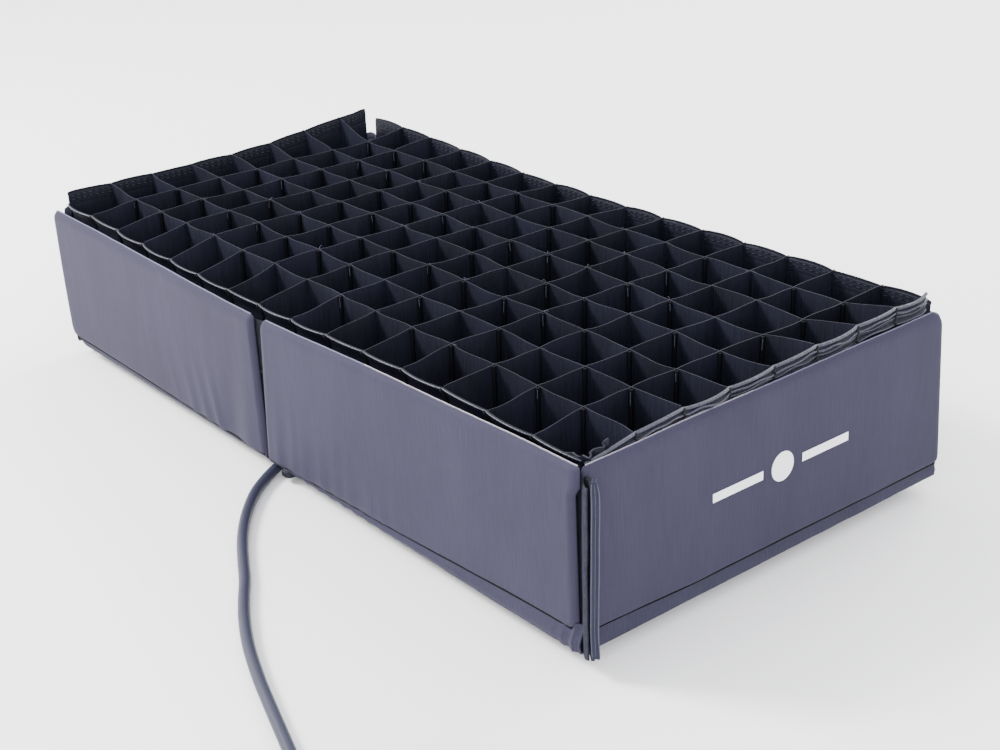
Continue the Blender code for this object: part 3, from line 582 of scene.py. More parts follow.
def end_shift(wall, s, z):
    """Sideways shift of a panel's ends: corners follow the leaning ends, folds taper open."""
    length = wall_span(wall)
    part = share_up(z)
    start, end = 1 - ease(s / (0.45 * length)), ease((s - 0.55 * length) / (0.45 * length))
    flick = ease((z - top_at(wall, length) + 0.010) / 0.007)
    shift = {
        "near_left": (-0.007 - 0.0015 * math.sin(math.pi * part), -0.004 + 0.004 * part),
        "near_right": (-0.010 + 0.014 * part, 0.001),
        "far_right": (0.0, 0.0010),
        "far_left": (-0.0010, LEAN["left"] * part),
        "left_end": (-LEAN["far"] * part, 0.0),
        "right_end": (-0.003 * part, 0.012 - 0.0075 * part),
    }[wall]
    pull = shift[0] * start + shift[1] * end
    if wall == "near_right":
        pull += 0.0040 * flick * ease((s - length + 0.020) / 0.020)
    return pull


def ripples(wall, s, z):
    """Outward swell of a wall's cloth over its board."""
    length = wall_span(wall)
    part = share_up(z)
    low = 1 - ease(part * 1.25)
    seed = WALLS.index(wall) * 7.3
    swell = 0.00022 * noise.noise((s * 38, seed, z * 9)) + 0.00008 * noise.noise((s * 160, seed, z * 20))
    if wall == "near_left":
        swell += 0.0016 * bump_at(s, length - 0.020 + 0.010 * part, 0.011) * (0.3 + 0.7 * low)
        swell -= 0.0010 * bump_at(s, length - 0.045 + 0.016 * part, 0.010) * low
        for place, tall in ((0.060, 0.0013), (0.080, 0.0009), (0.100, 0.0007), (0.124, 0.0004)):
            swell += tall * bump_at(s, length - place - 0.030 * part, 0.0050) * (1 - ease(part * 1.7))
    if wall == "near_right":
        for i in range(9):
            place = 0.016 + 0.0165 * i + 0.003 * math.sin(i * 2.3)
            tall = 0.00095 - 0.00007 * i
            swell += tall * bump_at(s, place, 0.0050) * (1 - ease(part * (1.5 + 0.1 * i)))
        swell += 0.0005 * bump_at(s, 0.0, 0.014)
    if side_of(wall) not in LONG_SIDES:
        for place in (0.030, 0.085, 0.245):
            swell += 0.00035 * bump_at(s, place, 0.010) * (0.4 + 0.6 * low)
    return swell


def edge_cut(radius, depth):
    """How far a rounded corner of this radius draws a side in, at a depth from the edge."""
    return radius - math.sqrt(max(0.0, radius**2 - max(0.0, radius - depth) ** 2))


CLOTH_OVER_BOARD = 0.0011


def cover_rows(wall, steps, bands, inset):
    """Closed rings of points round a panel, from its bottom edge up to its thin sewn top edge."""
    length, half = wall_span(wall), PANEL / 2 - inset
    levels = [0, 0.0006, 0.0016, 0.0030]
    drops = [0.0040, 0.0028, 0.0016, 0.0006, 0]
    rows = []
    for k in range(len(levels) + bands + len(drops)):
        outer, inner = [], []
        for i in range(steps + 1):
            u = i / steps
            low, high = bottom_at(wall, u * length) + inset, FLOOR_TO_RIM + top_at(wall, u * length) - inset
            if k < len(levels):
                z = low + levels[k]
            elif k >= len(levels) + bands:
                z = high - drops[k - len(levels) - bands]
            else:
                part = (k - len(levels) + 1) / (bands + 1)
                z = low + levels[-1] + part * (high - drops[0] - low - levels[-1])
            radii = [max(0.0005, radius - inset) for radius in ROUND[wall]]
            first = max(edge_cut(radii[0], high - z), edge_cut(radii[2], z - low)) + inset
            last = max(edge_cut(radii[1], high - z), edge_cut(radii[3], z - low)) + inset
            s = first + u * (length - first - last)
            pull = end_shift(wall, s, z)
            near_end = min(s - first, length - last - s)
            pinch = math.sqrt(min(1.0, max(0.02, near_end / half)))
            round_low = math.sqrt(min(1.0, max(0.05, (z - low) / 0.0022)))
            thin_top = 0.22 + 0.78 * ease((high - z) / 0.0040)
            thick = half * pinch * min(round_low, thin_top)
            lean = lean_at(wall, s, z)
            swell = 0.0
            if not inset:
                swell = (ripples(wall, s, z) + CLOTH_OVER_BOARD) * min(1.0, (high - z) / 0.006)
            outer.append(wall_point(wall, s + pull, PANEL / 2 - lean - thick - swell * pinch, z))
            inner.append(wall_point(wall, s + pull, PANEL / 2 - lean + thick, z))
        rows.append(outer + inner[::-1])
    return rows


def bottom_at(wall, s):
    """Height of a panel's bottom edge above the surface."""
    return FLOOR_TO_RIM + through(BOTTOM[wall], s)


def top_at(wall, s):
    """Height of a panel's top edge above the walls' underside."""
    return through(TOP[wall], s) + 0.0003 * noise.noise((s * 30, WALLS.index(wall) * 3.1, 0.5))


def along_edge(wall, first, last, share):
    """Places along a panel's edge, between its rounded corners."""
    length = wall_span(wall)
    return [first * share + (length - (first + last) * share) * i / 100 for i in range(101)]


def add_top_edge(wall):
    """The sewn top edge along a panel, as a lighter line: a painted highlight, with a paler stretch on two
    panels.
    """
    points = []
    for s in along_edge(wall, *ROUND[wall][:2], 0.9):
        z = FLOOR_TO_RIM + top_at(wall, s)
        wobble = 0.00012 * noise.noise((s * 500, 1.3, WALLS.index(wall)))
        depth = PANEL / 2 - lean_at(wall, s, z) - 0.0003 + wobble
        points.append(wall_point(wall, s + end_shift(wall, s, z), depth, z - 0.0001 + wobble))
    # The seam tube is painted lighter than the cloth, as a highlight
    tube_piece(wall + "_top_seam", [(points, 0.00046)], "top_edge_highlight", wall)
    # A paler stretch over part of the top edge on two panels
    pale_stretch = {"near_right": points[38:], "right_end": points[:45]}.get(wall)
    if pale_stretch:
        points = [point + Vector((0, 0, 0.0002)) for point in pale_stretch]
        tube_piece(wall + "_pale_seam", [(points, 0.00036)], "edge", wall)


def add_gap_shadow(wall):
    """A near-black line painted where a panel meets its rim: painted shadow in the gap between them."""
    points = []
    for s in along_edge(wall, *ROUND[wall][2:], 0.7):
        z = bottom_at(wall, s) - 0.0001
        depth = 0.0004 - lean_at(wall, s, z)
        points.append(wall_point(wall, s + end_shift(wall, s, z), depth, z))
    tube_piece(wall + "_gap_shadow", [(points, 0.00075)], "fold", wall)


def slab(name, rows, material, body, node):
    """A closed piece from rings whose first half faces out and second half faces in."""
    shape = bmesh.new()
    made = grid_faces(shape, rows, wrap=True)
    count = len(rows[0])
    for ring in (made[0], made[-1]):
        for i in range(count // 2 - 1):
            shape.faces.new((ring[i], ring[i + 1], ring[count - 2 - i], ring[count - 1 - i]))
    new_piece(name, shape, material, body, node, 60)


def add_wall(wall):
    cloth, board = cover_rows(wall, 110, 30, 0.0), cover_rows(wall, 12, 4, CLOTH_OVER_BOARD)
    slab(wall + "_cloth", cloth, "wall", wall, wall + "_cover")
    slab(wall + "_stiffener", board, "board", wall, wall + "_board")
    add_rim(wall)
    add_top_edge(wall)
    add_gap_shadow(wall)


def rim_profile(wall, s):
    """The rim's path in depth and height: tucked behind the panel, down, under and in to the lip."""
    edge = bottom_at(wall, s)
    base = FLOOR_TO_RIM
    lean = lean_at(wall, s, edge)
    roll = 0.0
    if wall == "near_right":
        roll = 0.0028 * ease((s + 0.06) / 0.30)
    if wall == "right_end":
        roll = 0.0006
    tall = edge - base
    lip = LIP_HEIGHT
    return [
        (0.0014 - lean, edge + 0.0050),
        (0.0010 - lean, edge + 0.0010),
        (0.0006 - lean - roll * 0.6, base + 0.72 * tall),
        (0.0004 - lean * 0.5 - roll, base + 0.45 * tall + 0.0004),
        (0.0007 - roll * 0.7, base + 0.0012),
        (0.0022, base + 0.0001),
        (0.0044, base + 0.0006),
        (0.0052, base + 0.0030),
        (0.0054, lip - 0.0010),
        (0.0062, lip),
        (0.0120, lip + 0.0001),
        (0.0250, lip),
    ]


LIP_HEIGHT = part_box("mat_hook_border")[1][2] + 0.0008


# How far each rim's outer fold runs past its panel's start and end
RIM_ENDS = {
    "near_left": (-0.004, -0.0045), "near_right": (0.009, 0.005), "far_left": (0.0, 0.004),
    "far_right": (0.004, 0.0), "left_end": (0.004, 0.004), "right_end": (0.0035, 0.007),
}  # fmt: skip


def add_rim(wall):
    length = wall_span(wall)
    corner_first = wall in ("near_left", "far_right", "left_end", "right_end")
    corner_last = wall in ("near_right", "far_left", "left_end", "right_end")
    steps = 120
    rows = []
    for i in range(steps + 1):
        u = i / steps
        row = []
        profile = rim_profile(wall, u * length)
        for k, (d, z) in enumerate(profile):
            if k < 8:
                first, last = -RIM_ENDS[wall][0], -RIM_ENDS[wall][1]
                if wall == "near_left":
                    first += 0.0100 * (1 - ease((z - FLOOR_TO_RIM) / 0.0058))
            else:
                first = d - 0.004 if corner_first else 0.0010
                last = d - 0.004 if corner_last else 0.0010
            s = first + u * (length - first - last)
            wave = 0.00035 * noise.noise((s * 60, k * 0.35, 3.1)) if 1 < k < 6 else 0
            if wall == "near_right" and k < 7:
                wave -= 0.0012 * math.sin(s * 700) * ease((s - length + 0.022) / 0.022)
                wave -= 0.0004 * math.sin(s * 420 + k) * (1 - ease((s - 0.10) / 0.05))
            row.append(wall_point(wall, s, d + wave, z))
        rows.append(row)
    sheet_piece(wall + "_rim_band", rows, 0.0009, "rim", wall, wall + "_rim")


# ---------------------------------------------------------------- cloth hinges and the open corner


def add_bar_tack(row):
    """A short doubled bar-tack across the near fold, and its loose ends."""
    out = Vector((0, -0.0014, 0))
    paths = []
    for lift in (0, 0.0011):
        points = [point + out + Vector((0, 0, lift + 0.0003 * (i % 2))) for i, point in enumerate(row)]
        paths.append((points, 0.0005))
    tail = row[0] + out
    ends = [Vector((-0.0012, -0.0016, 0.0005)), Vector((-0.003, -0.0012, -0.0004))]
    paths.append(([tail, *(tail + end for end in ends)], 0.0003))
    tube_piece("near_fold_tack", paths, "thread", "near_left", 5)


def add_fold(side):
    """The recessed cloth between the two halves of a long wall."""
    first, second = (side + "_left", side + "_right") if side == "near" else ("far_right", "far_left")
    length = wall_span(first)
    base, top = FLOOR_TO_RIM + 0.0015, FLOOR_TO_RIM + top_at(first, length) - 0.0040
    rows = []
    for k in range(31):
        z = base + (top - base) * k / 30
        left = wall_point(first, length + end_shift(first, length, z) - 0.0025, 0, z)
        right = wall_point(second, 0.0025 + end_shift(second, 0, z), 0, z)
        lean = lean_at(first, length, z)
        inward = wall_point(first, 0, 1, 0) - wall_point(first, 0, 0, 0)
        row = []
        for i in range(13):
            u = i / 12
            wrinkle = 0.0004 * math.sin(z * 320 + i) * math.sin(math.pi * u)
            depth = 0.0036 + 0.0016 * math.sin(math.pi * u) ** 2 - lean + wrinkle
            row.append(left.lerp(right, u) + inward * depth)
        rows.append(row)
    if side == "near":
        add_bar_tack(rows[19])
    node = side + "_fold_gusset"
    gusset = sheet_piece(side + "_fold_cloth", rows, 0.0007, "gusset", None, node)
    if side == "near":
        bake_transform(gusset)
    else:
        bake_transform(gusset)


def add_corner(name, first, second, covering=None):
    """The rounded cloth that joins two walls at a corner, from the first's end to the second's start."""
    length = wall_span(first)
    base, top = FLOOR_TO_RIM + 0.0040, WALL_TOP - 0.0100
    rows = []
    for k in range(25):
        z = base + (top - base) * k / 24
        end, start = length + end_shift(first, length, z), end_shift(second, 0, z)
        lean, next_lean = lean_at(first, length, z), lean_at(second, 0, z)
        a = wall_point(first, end - 0.0030, 0.0016 - lean, z)
        a1 = wall_point(first, end + 0.0010, 0.0014 - lean, z)
        b1 = wall_point(second, start - 0.0010, 0.0014 - next_lean, z)
        b = wall_point(second, start + 0.0030, 0.0016 - next_lean, z)
        if covering == second:
            b1, b = wall_point(second, 0.0, 0.0050, z), wall_point(second, 0.0070, 0.0050, z)
        if covering == first:
            a1, a = wall_point(first, length, 0.0050, z), wall_point(first, length - 0.0070, 0.0050, z)
        outer = Vector((a1.x if abs(a1.x - CENTRE.x) > abs(b1.x - CENTRE.x) else b1.x,
                        a1.y if abs(a1.y - CENTRE.y) > abs(b1.y - CENTRE.y) else b1.y, z))
        row = [a]
        for i in range(9):
            t = i / 8
            row.append((1 - t) ** 2 * a1 + 2 * t * (1 - t) * outer + t * t * b1)
        row.append(b)
        rows.append(row)
    node = name + "_gusset"
    gusset = sheet_piece(name + "_corner_cloth", rows, 0.0008, "gusset", None, node)
    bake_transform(gusset)


FLANGE_LIFT = 0.002  # bare tape left above and below the flange cloth
OPEN_CORNER = Vector((RIGHT[1][0], NEAR[0][1], 0))
OUT, ACROSS = Vector((1, -1, 0)).normalized(), Vector((1, 1, 0)).normalized()


def flange_rows(path, base, top, wave, ragged, seed):
    """An upright strip that follows a plan path, with a wavy face and ragged edges."""
    rows = []
    for k in range(61):
        part = k / 60
        row = []
        for i, (x, y) in enumerate(path):
            along = i / (len(path) - 1)
            z = base + (top - base) * part
            shift = wave * noise.noise((seed, z * 45, along * 1.5))
            rag = ragged * noise.noise((seed + 9, z * 260, along * 5)) * along
            row.append(OPEN_CORNER + Vector((x, y, z)) + OUT * (shift + rag) + ACROSS * (shift * 0.7))
        rows.append(row)
    return rows


def add_flanges():
    """The two hook-and-loop flanges at the open corner, with the bound edge of the outer one."""
    low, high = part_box("loop_flange")
    base, top = low[2], high[2]
    path = [(-0.0080, 0.0075), (-0.0036, 0.0050), (-0.0010, 0.0046), (0.0030, 0.0034),
            (0.0066, 0.0012), (0.0088, -0.0006)]
    rows = flange_rows(path, base + FLANGE_LIFT, top, 0.0006, 0.0, 1.7)
    sheet_piece("loop_flange_cloth", rows, 0.0022, "hook", "right_end", "loop_flange")
    add_binding(base, top)
    path = [(-0.0140, 0.0054), (-0.0060, 0.0050), (-0.0020, 0.0022), (0.0018, -0.0006),
            (0.0040, -0.0022), (0.0062, -0.0020)]
    rows = flange_rows(path, base + FLANGE_LIFT, top - FLANGE_LIFT, 0.0008, 0.0018, 4.1)
    sheet_piece("hook_flange_cloth", rows, 0.0011, "frayed", "near_right", "hook_flange")


def add_binding(base, top):
    """A ribbed tape folded round the outer flange's edge, piped along both sides."""
    profile = [(-0.0034, -0.0015), (-0.0010, -0.0017), (0.0004, -0.0019), (0.0010, -0.0016),
               (0.0004, -0.0009), (0.0002, 0.0000), (0.0004, 0.0009), (0.0010, 0.0016),
               (0.0004, 0.0019), (-0.0010, 0.0017), (-0.0034, 0.0015)]
    rows = []
    for k in range(71):
        part = k / 70
        z = base + 0.0040 + (top - base - 0.0010) * part
        shift = 0.0009 * noise.noise((1.7, z * 45, 1.5)) + 0.0004 * math.sin(z * 130)
        narrow = 1 - 0.35 * ease((part - 0.93) / 0.07)
        middle = OPEN_CORNER + Vector((0, 0, z)) + ACROSS * (0.0073 + shift * 0.9) + OUT * (0.0069 + shift)
        rows.append([middle + OUT * o + ACROSS * a * narrow for o, a in profile])
    sheet_piece("flange_binding_tape", rows, 0.0007, "binding", "right_end")
    paths = []
    for column, side in ((2, -1), (8, 1), (5, 0)):
        points = [row[column] + OUT * 0.0003 + ACROSS * 0.0002 * side for row in rows[1:-1]]
        paths.append((points, 0.00042 if side else 0.00022))
    tube_piece("flange_piping", paths, "piping", "right_end")


def add_mark():
    """A plain printed mark on the right end panel: a disc between two bars, with no lettering."""
    length = wall_span("right_end")
    shape = bmesh.new()

    def patch(points):
        ring = []
        for s, z in points:
            depth = PANEL / 2 - lean_at("right_end", s, z) - PANEL / 2 - ripples("right_end", s, z) - 0.00135
            ring.append(shape.verts.new(wall_point("right_end", s, depth, z)))
        shape.faces.new(ring)

    middle, height = length / 2 + 0.004, 0.074
    patch([(middle + 0.010 * math.cos(a), height + 0.010 * math.sin(a))
           for a in (2 * math.pi * k / 40 for k in range(40))])
    for sign in (-1, 1):
        inner, outer = middle + sign * 0.018, middle + sign * 0.062
        corners = [(inner, height - 0.003), (outer, height - 0.003), (outer, height + 0.003),
                   (inner, height + 0.003)]
        patch(corners if sign > 0 else corners[::-1])
    thicken(new_piece("end_panel_mark", shape, "print", "right_end"), 0.00015, -1.0)


# ---------------------------------------------------------------- grid

HEM_LEFT = [(0.0, 0.130), (0.5, 0.130), (1.0, 0.142)]
HEM_RIGHT = [(0.0, 0.119), (0.2, 0.128), (1.0, 0.137)]
HEM_NEAR = [(0.0, 0.122), (0.4, 0.117), (0.8, 0.123), (1.0, 0.121)]
HEM_FAR = [(0.0, 0.132), (0.4, 0.125), (1.0, 0.129)]
MIDDLE_HEIGHT = 0.127
dice = random.Random(11)


def grid_extent():
    low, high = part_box("grid_lattice")
    return low[0], high[0], low[1], high[1]


def grid_top(u, v):
    """Height of the grid's top edge above the walls' underside, u along and v across from 0 to 1."""
    edges = [(v, through(HEM_NEAR, u)), (1 - v, through(HEM_FAR, u)),
             (u * 2, through(HEM_LEFT, v)), ((1 - u) * 2, through(HEM_RIGHT, v))]
    height, weight = MIDDLE_HEIGHT, 1.0
    for distance, edge in edges:
        pull = max(0.0, 1 - distance * CELLS_ACROSS / 1.05) ** 2 * 60
        height += edge * pull
        weight += pull
    return height / weight


def junctions():
    """Where the grid's strips cross, a little uneven, as sewn cloth is."""
    x0, x1, y0, y1 = grid_extent()
    places = {}
    for i in range(CELLS_ALONG + 1):
        for j in range(CELLS_ACROSS + 1):
            u, v = i / CELLS_ALONG, j / CELLS_ACROSS
            edge_x, edge_y = i in (0, CELLS_ALONG), j in (0, CELLS_ACROSS)
            dx = dice.uniform(-1, 1) * (0.0 if edge_x else 0.0010)
            dy = dice.uniform(-1, 1) * (0.0 if edge_y else 0.0010)
            drop = dice.uniform(-1, 1) * 0.0008
            z = FLOOR_TO_RIM + grid_top(u, v) + drop
            places[i, j] = Vector((x0 + (x1 - x0) * u + dx, y0 + (y1 - y0) * v + dy, z))
    return places


def strip_rows(nodes, seed, bow):
    """A long upright strip through its junctions, bowed between them and creased beside them."""
    levels = 9
    rows = [[] for _ in range(levels + 1)]
    chooser = random.Random(seed)
    for n, (a, b) in enumerate(zip(nodes, nodes[1:])):
        level = Vector((b.x - a.x, b.y - a.y, 0))
        side = Vector((-level.y, level.x, 0)).normalized()
        top_bow = chooser.uniform(-1, 1) * bow
        low_bow = top_bow * 0.4 + chooser.uniform(-1, 1) * bow * 0.8
        twist = chooser.uniform(-1, 1) * bow * 0.5
        sag = chooser.uniform(-0.0002, 0.0008)
        for step in range(PER_CELL + (n == len(nodes) - 2)):
            t = step / PER_CELL
            hump = math.sin(math.pi * t) ** 0.8
            crease = 0.0009 * (bump_at(t, 0.10, 0.025) - bump_at(t, 0.90, 0.025))
            point = a.lerp(b, t)
            for k in range(levels + 1):
                drop = k / levels
                offset = (top_bow + (low_bow - top_bow) * drop) * hump
                offset += twist * math.sin(2 * math.pi * t) * (1 - 0.5 * drop) + crease
                z = point.z - sag * hump * (1 - drop) - GRID_DEPTH * drop
                rows[k].append(Vector((point.x, point.y, z)) + side * offset)
    return rows


def add_strip(name, nodes, seed, node=None):
    rows = strip_rows(nodes, seed, 0.0016)
    sheet_piece(name, rows, STRIP_THICK, "grid", "grid", node)


def add_strips(places):
    for j in range(1, CELLS_ACROSS):
        nodes = [places[i, j] for i in range(CELLS_ALONG + 1)]
        add_strip("grid_strip_along_%02d" % j, nodes, 100 + j, "grid_lattice" if j == 1 else None)
    for i in range(1, CELLS_ALONG):
        nodes = [places[i, j] for j in range(CELLS_ACROSS + 1)]
        add_strip("grid_strip_across_%02d" % i, nodes, 200 + i)


def hem_profile(side):
    """A hem's depth outward at steps down from its top: a rolled edge, and piped or stitched lines."""
    steps = [0, 0.0004, 0.0012, 0.0022, 0.0030, 0.0036, 0.0042, 0.0048, 0.0056, 0.0064, 0.0070,
             0.0076, 0.0084, 0.0094, 0.0102, 0.0108, 0.0116, 0.0130, 0.0170, 0.0240, 0.0330, 0.0420]
    ridge = {"right": 0.00125, "near": 0.0, "left": 0.00022, "far": 0.00022}[side]
    profile = []
    for down in steps:
        roll = 0.0007 * bump_at(down, 0.0012, 0.0010)
        pipes = sum(ridge * bump_at(down, place, 0.0009) for place in (0.0042, 0.0074, 0.0106))
        back = 0.0028 * ease(down / 0.010) if side == "near" else 0.0
        profile.append((down, roll + pipes - back))
    return profile


def hem_rows(nodes, outward, seed, bulge, flare, side):
    """A hem band along one side of the grid, pinned at each strip and swelling between."""
    chooser = random.Random(seed)
    profile = hem_profile(side)
    rows = [[] for _ in profile]
    for n, (a, b) in enumerate(zip(nodes, nodes[1:])):
        swell = bulge * chooser.uniform(0.6, 1.2)
        rise = chooser.uniform(-0.0004, 0.0012)
        for step in range(PER_CELL + (n == len(nodes) - 2)):
            t = step / PER_CELL
            hump = math.sin(math.pi * t) ** 0.7
            point = a.lerp(b, t)
            for k, (down, ridge) in enumerate(profile):
                fade = math.exp(-down / 0.030)
                out = swell * hump * fade + ridge + flare * fade
                z = point.z + rise * hump - down * 1.02
                rows[k].append(Vector((point.x, point.y, z)) + outward * out)
    return rows


def raise_ends(rows, first, last, tuck):
    """Lifts a hem's free ends into points, and draws the last one back from the corner."""
    count = len(rows[0])
    for k, row in enumerate(rows):
        fade = math.exp(-k / 9)
        for i in range(count):
            start, end = 1 - ease(i / 9), 1 - ease((count - 1 - i) / 9)
            row[i].z += fade * (first * start + last * end)
            row[i].y -= tuck * end
    return rows


def add_hems(places):
    last_x, last_y = CELLS_ALONG, CELLS_ACROSS
    # Nodes, way out, heights, bulge, flare, and the lift of both ends with the tuck of the last
    sides = {
        "near": ([places[i, 0] for i in range(last_x + 1)], (0, -1, 0), HEM_NEAR, 0.0036, 0.0004,
                 (0.0, 0.0, 0.0)),
        "far": ([places[i, last_y] for i in range(last_x + 1)], (0, 1, 0), HEM_FAR, 0.0020, 0.0005,
                (0.0, 0.0, 0.0)),
        "left": ([places[0, j] for j in range(last_y + 1)], (-1, 0, 0), HEM_LEFT, 0.0024, 0.0004,
                 (0.001, 0.0010, 0.010)),
        "right": ([places[last_x, j] for j in range(last_y + 1)], (1, 0, 0), HEM_RIGHT, 0.0030, 0.0008,
                  (0.0, 0.001, 0.007)),
    }  # fmt: skip
    for seed, (side, (nodes, way, heights, bulge, flare, lifts)) in enumerate(sides.items()):
        outward = Vector(way)
        nodes = [node.copy() for node in nodes]
        for n, node in enumerate(nodes):
            node.z = FLOOR_TO_RIM + through(heights, n / (len(nodes) - 1))
        rows = raise_ends(hem_rows(nodes, outward, 300 + seed, bulge, flare, side), *lifts)
        name = "grid_hem_" + side
        sheet_piece(name + "_band", rows, 0.0009, "hem", "grid", name)
        add_ticks(name, rows, outward)
        if side in ("near", "right"):
            add_roll(name, rows, outward, 0.0011 if side == "right" else 0.00062)
        if side == "right":
            add_pipes(name, rows, outward)
        if side in ("left", "far"):
            add_stitches(name, rows, outward)


def add_roll(name, rows, outward, radius):
    """The rolled edge along a hem's top, painted lighter than the hem as a highlight."""
    points = [point + outward * 0.0004 - Vector((0, 0, 0.0004)) for point in rows[1]]
    tube_piece(name + "_roll", [(points, radius)], "roll", "grid", 8)


def add_pipes(name, rows, outward):
    """Three wavy piped lines along the outside of the right hem, painted lighter as highlights."""
    paths = []
    for n, (k, radius) in enumerate(((6, 0.00085), (10, 0.00045), (15, 0.00065))):
        points = []
        for i, point in enumerate(rows[k]):
            wave = 0.0026 * noise.noise((i * 0.17, n * 3.3, 1.1))
            points.append(point + outward * (0.0003 + 0.1 * wave) + Vector((0, 0, wave)))
        paths.append((points, radius))
    tube_piece(name + "_pipes", paths, "roll", "grid")


def add_stitches(name, rows, outward):
    """Two dashed lines of stitches on the inner face of a hem."""
    paths = []
    for k in (5, 9):
        for i in range(1, len(rows[0]) - 2, 2):
            pair = [rows[k][i], rows[k][i].lerp(rows[k][i + 1], 0.9)]
            paths.append(([point - outward * 0.0007 for point in pair], 0.00028))
    tube_piece(name + "_stitches", paths, "dim_thread", "grid", 4)


def add_ticks(name, rows, outward):
    """The black bar-tack over a hem at each strip."""
    paths = []
    for i in range(PER_CELL, len(rows[0]) - 1, PER_CELL):
        paths.append(([rows[k][i] + outward * 0.0018 for k in range(0, 18, 2)], 0.00065))
    tube_piece(name + "_tacks", paths, "thread", "grid", 5)


def inner(places):
    """The crossings that aren't on the grid's edge, in order."""
    for (i, j), place in sorted(places.items()):
        if i not in (0, CELLS_ALONG) and j not in (0, CELLS_ACROSS):
            yield place


def add_tufts(places):
    """Loose thread ends at some of the grid's crossings."""
    chooser = random.Random(5)
    paths = []
    for place in inner(places):
        if chooser.random() > 0.45:
            continue
        for _ in range(chooser.choice((1, 2))):
            angle, reach = chooser.uniform(0, 2 * math.pi), chooser.uniform(0.002, 0.0045)
            lift = chooser.uniform(-0.001, 0.003)
            way = Vector((math.cos(angle), math.sin(angle), 0))
            points = [place + way * reach * t + Vector((0, 0, lift * math.sin(2.4 * t) - 0.0004))
                      for t in (0, 0.3, 0.6, 0.85, 1)]
            paths.append((points, 0.00016))
    tube_piece("grid_thread_ends", paths, "pale_thread", "grid", 4)


def add_crossings(places):
    """The sewn fold down each crossing, painted near-black as shade, and the loose light thread at its top.
    """
    chooser = random.Random(8)
    folds, threads = [], []
    for place in inner(places):
        side = Vector((chooser.uniform(0.0008, 0.0016), chooser.choice((-1, -1, 1)) * 0.0014, 0))
        lean = Vector((chooser.uniform(-1, 1), chooser.uniform(-1, 1), 0)) * 0.0006
        points = [place + side + lean * t - Vector((0, 0, 0.0006 + 0.040 * t)) for t in (0, 0.3, 0.6, 1)]
        folds.append((points, 0.0017))
        if chooser.random() < 0.45:
            start = place + side * 2.2 - Vector((0, 0, 0.0015))
            drop = chooser.uniform(0.004, 0.009)
            points = [start + lean * t - Vector((0, 0, drop * t)) for t in (0, 0.5, 1)]
            threads.append((points, 0.00024))
    tube_piece("grid_crossing_fold_shade", folds, "fold", "grid")
    tube_piece("grid_crossing_threads", threads, "pale_thread", "grid", 4)


def add_corner_tab():
    """The hems' ends crumpled together in the near right corner."""
    x, y = RIGHT[1][0] - PANEL, NEAR[0][1] + PANEL
    path = [(-0.0020, 0.0230), (-0.0014, 0.0170), (-0.0022, 0.0110), (-0.0016, 0.0055), (-0.0060, 0.0022),
            (-0.0110, 0.0030), (-0.0160, 0.0014)]
    rows = []
    for k in range(13):
        part = k / 12
        row = []
        for i in range(37):
            u = i / 36 * (len(path) - 1)
            n = min(int(u), len(path) - 2)
            px = path[n][0] + (path[n + 1][0] - path[n][0]) * (u - n)
            py = path[n][1] + (path[n + 1][1] - path[n][1]) * (u - n)
            push = noise.noise_vector((u * 0.8, part * 1.1, 7.7)) * 0.0060 * (0.4 + 0.6 * part)
            top = 0.1205 + 0.0060 * ease(1 - u / 3.2) + 0.0022 * bump_at(u, 3.6, 0.5)
            z = FLOOR_TO_RIM + 0.0980 + (top - 0.0980) * part
            row.append(Vector((x + px - abs(push.x), y + py + abs(push.y), z + push.z * 0.25)))
        rows.append(row)
    sheet_piece("grid_corner_tab", rows, 0.0014, "hem", "grid")


def add_grid():
    places = junctions()
    add_crossings(places)
    add_corner_tab()
    add_strips(places)
    add_hems(places)
    add_tufts(places)


# ---------------------------------------------------------------- inside and behind


def add_diffuser():
    low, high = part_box("diffuser_cloth")
    rows = []
    across, along = 24, 48
    for j in range(across + 1):
        v = j / across
        row = []
        for i in range(along + 1):
            u = i / along
            sag = 0.0060 * (1 - (2 * u - 1) ** 2) * (1 - (2 * v - 1) ** 2)
            wave = 0.0004 * noise.noise((u * 9, v * 5, 2.0))
            x = low[0] + (high[0] - low[0]) * u
            y = low[1] + (high[1] - low[1]) * v
            row.append(Vector((x, y, high[2] - 0.0004 - sag + wave)))
        rows.append(row)
    cloth = sheet_piece("diffuser_sheet", rows, 0.0005, "diffuser", "diffuser",
                        "diffuser_cloth")
    band = sewn("diffuser_hem", "diffuser_hem_band", "hem", "diffuser")


def add_edge_tab():
    """The soft rounded tab that shows under the near wall beside the lead."""
    low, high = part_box("edge_tab")
    middle = (Vector(low) + Vector(high)) / 2
    size = Vector(high) - Vector(low)
    shape = bmesh.new()
    bmesh.ops.create_uvsphere(shape, u_segments=28, v_segments=16, radius=0.5)
    for vert in shape.verts:
        vert.co = Vector([math.copysign(abs(c * 2) ** 0.7 / 2, c) for c in vert.co])
        vert.co = middle + Vector((vert.co.x * size.x * 0.9, vert.co.y * size.y, vert.co.z * size.z))
        vert.co.y += 0.0015
    new_piece("edge_tab_cloth", shape, "soft_tab", "mat", "edge_tab")


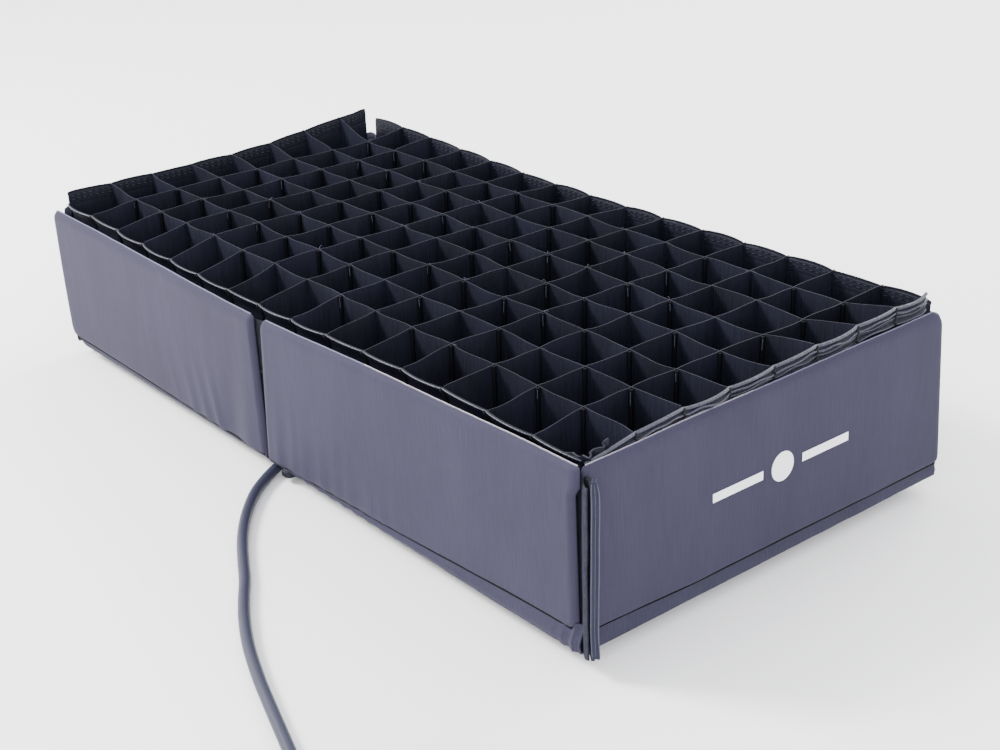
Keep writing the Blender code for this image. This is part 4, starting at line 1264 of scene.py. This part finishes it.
def sewn(node, name, kind, body, cell=0.006, pucker=0.00015):
    """A soft node's outline as cloth: cut into small faces and gently puckered."""
    source = bpy.data.objects[node]
    shape = bmesh.new()
    shape.from_mesh(source.data)
    shape.transform(source.matrix_world)
    bmesh.ops.remove_doubles(shape, verts=shape.verts, dist=1e-6)
    bmesh.ops.dissolve_limit(shape, angle_limit=math.radians(1), verts=shape.verts, edges=shape.edges)
    low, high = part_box(node)
    for axis in (0, 1):
        way = Vector((axis == 0, axis == 1, 0))
        for k in range(1, int((high[axis] - low[axis]) / cell) + 1):
            everything = [*shape.verts, *shape.edges, *shape.faces]
            bmesh.ops.bisect_plane(
                shape, geom=everything, plane_co=way * (low[axis] + cell * k), plane_no=way, dist=1e-6
            )
    for vert in shape.verts:
        vert.co += noise.noise_vector(vert.co * 55) * pucker
    new_piece(name, shape, kind, body, node, SHEET_ANGLE)
    return name


STITCH_STEP = 0.004  # from one pocket stitch to the next, and in from the pocket's edge


def stitch_ring(name, box, inset, z, body):
    """Dashed stitches round a rectangle, this far inside the box, at one height."""
    (x0, y0, _), (x1, y1, _) = box
    corners = [(x0 + inset, y0 + inset), (x1 - inset, y0 + inset), (x1 - inset, y1 - inset),
               (x0 + inset, y1 - inset)]
    paths = []
    for a, b in zip(corners, corners[1:] + corners[:1]):
        a, b = Vector((*a, z)), Vector((*b, z))
        count = int((b - a).length / 0.005)
        for k in range(count):
            paths.append(([a.lerp(b, (k + 0.15) / count), a.lerp(b, (k + 0.85) / count)], 0.00022))
    tube_piece(name, paths, "dim_thread", body, 4)


def add_soft_nodes():
    """The cloth pieces behind the mat and round it, each with its stitching."""
    sewn("mat_back_cloth", "mat_back_sheet", "back", "mat", 0.012, 0.00010)
    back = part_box("mat_back_cloth")
    stitch_ring("mat_back_stitches", back, 0.008, back[0][2] - 0.0001, "mat")
    sewn("mat_hook_border", "mat_hook_tape", "hook", "mat")
    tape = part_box("mat_hook_border")
    for n, inset in enumerate((0.002, 0.018)):
        stitch_ring("mat_hook_stitches_%d" % n, tape, inset, tape[1][2], "mat")
    for corner in ("right_far", "left_near", "right_near", "left_far"):
        node = "pocket_" + corner
        sewn(node, node + "_cloth", "pocket", "mat", 0.005, 0.00025)
        low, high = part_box(node)
        y = high[1] - STITCH_STEP if corner.endswith("far") else low[1] + STITCH_STEP
        paths = []
        for k in range(int((high[0] - low[0] - 2 * STITCH_STEP) / STITCH_STEP)):
            x = low[0] + STITCH_STEP + STITCH_STEP * k
            paths.append(([Vector((x, y, low[2])), Vector((x + 0.0028, y, low[2]))], 0.00025))
        tube_piece(node + "_stitches", paths, "dim_thread", "mat", 4)


def add_leds():
    """Rows of small light packages on the mat's face."""
    low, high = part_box("led_mat")
    shape = bmesh.new()
    count_x, count_y = 30, 14
    margin = 0.034
    size = Matrix.Diagonal((0.0035, 0.0028, 0.0008, 1))
    for i in range(count_x):
        for j in range(count_y):
            x = low[0] + margin + (high[0] - low[0] - 2 * margin) * i / (count_x - 1)
            y = low[1] + margin + (high[1] - low[1] - 2 * margin) * j / (count_y - 1)
            matrix = Matrix.Translation((x, y, high[2] + 0.0004)) @ size
            bmesh.ops.create_cube(shape, size=1, matrix=matrix)
    new_piece("led_packages", shape, "led", "mat")


NODE_FINISH = {
    "led_mat": "led_face",
    "fixed_bar": "steel", "swing_bar": "steel", "hub_plate": "metal", "hub_washer": "metal",
    "hub_barrel": "metal", "junction_box": "plastic", "junction_lid": "plastic",
    "strain_relief": "rubber", "plug_body": "metal",
    "coupling_ring": "metal",
}  # fmt: skip


def finish_nodes():
    """Gives each CAD node that stays its finished material."""
    for node in frame["nodes"]:
        key = "rubber" if node.startswith("cap_") else NODE_FINISH.get(node)
        if key:
            obj = bpy.data.objects[node]
            obj.data.materials.clear()
            obj.data.materials.append(finish[key])


add_camera()
add_cord()
add_stage()
for wall_name in WALLS:
    add_wall(wall_name)
add_fold("near")
add_fold("far")
add_corner("left_near", "left_end", "near_left", "near_left")
add_corner("left_far", "far_left", "left_end")
add_corner("right_far", "right_end", "far_right", "right_end")
add_flanges()
add_mark()
add_grid()
add_diffuser()
add_leds()
add_edge_tab()
add_soft_nodes()
finish_nodes()
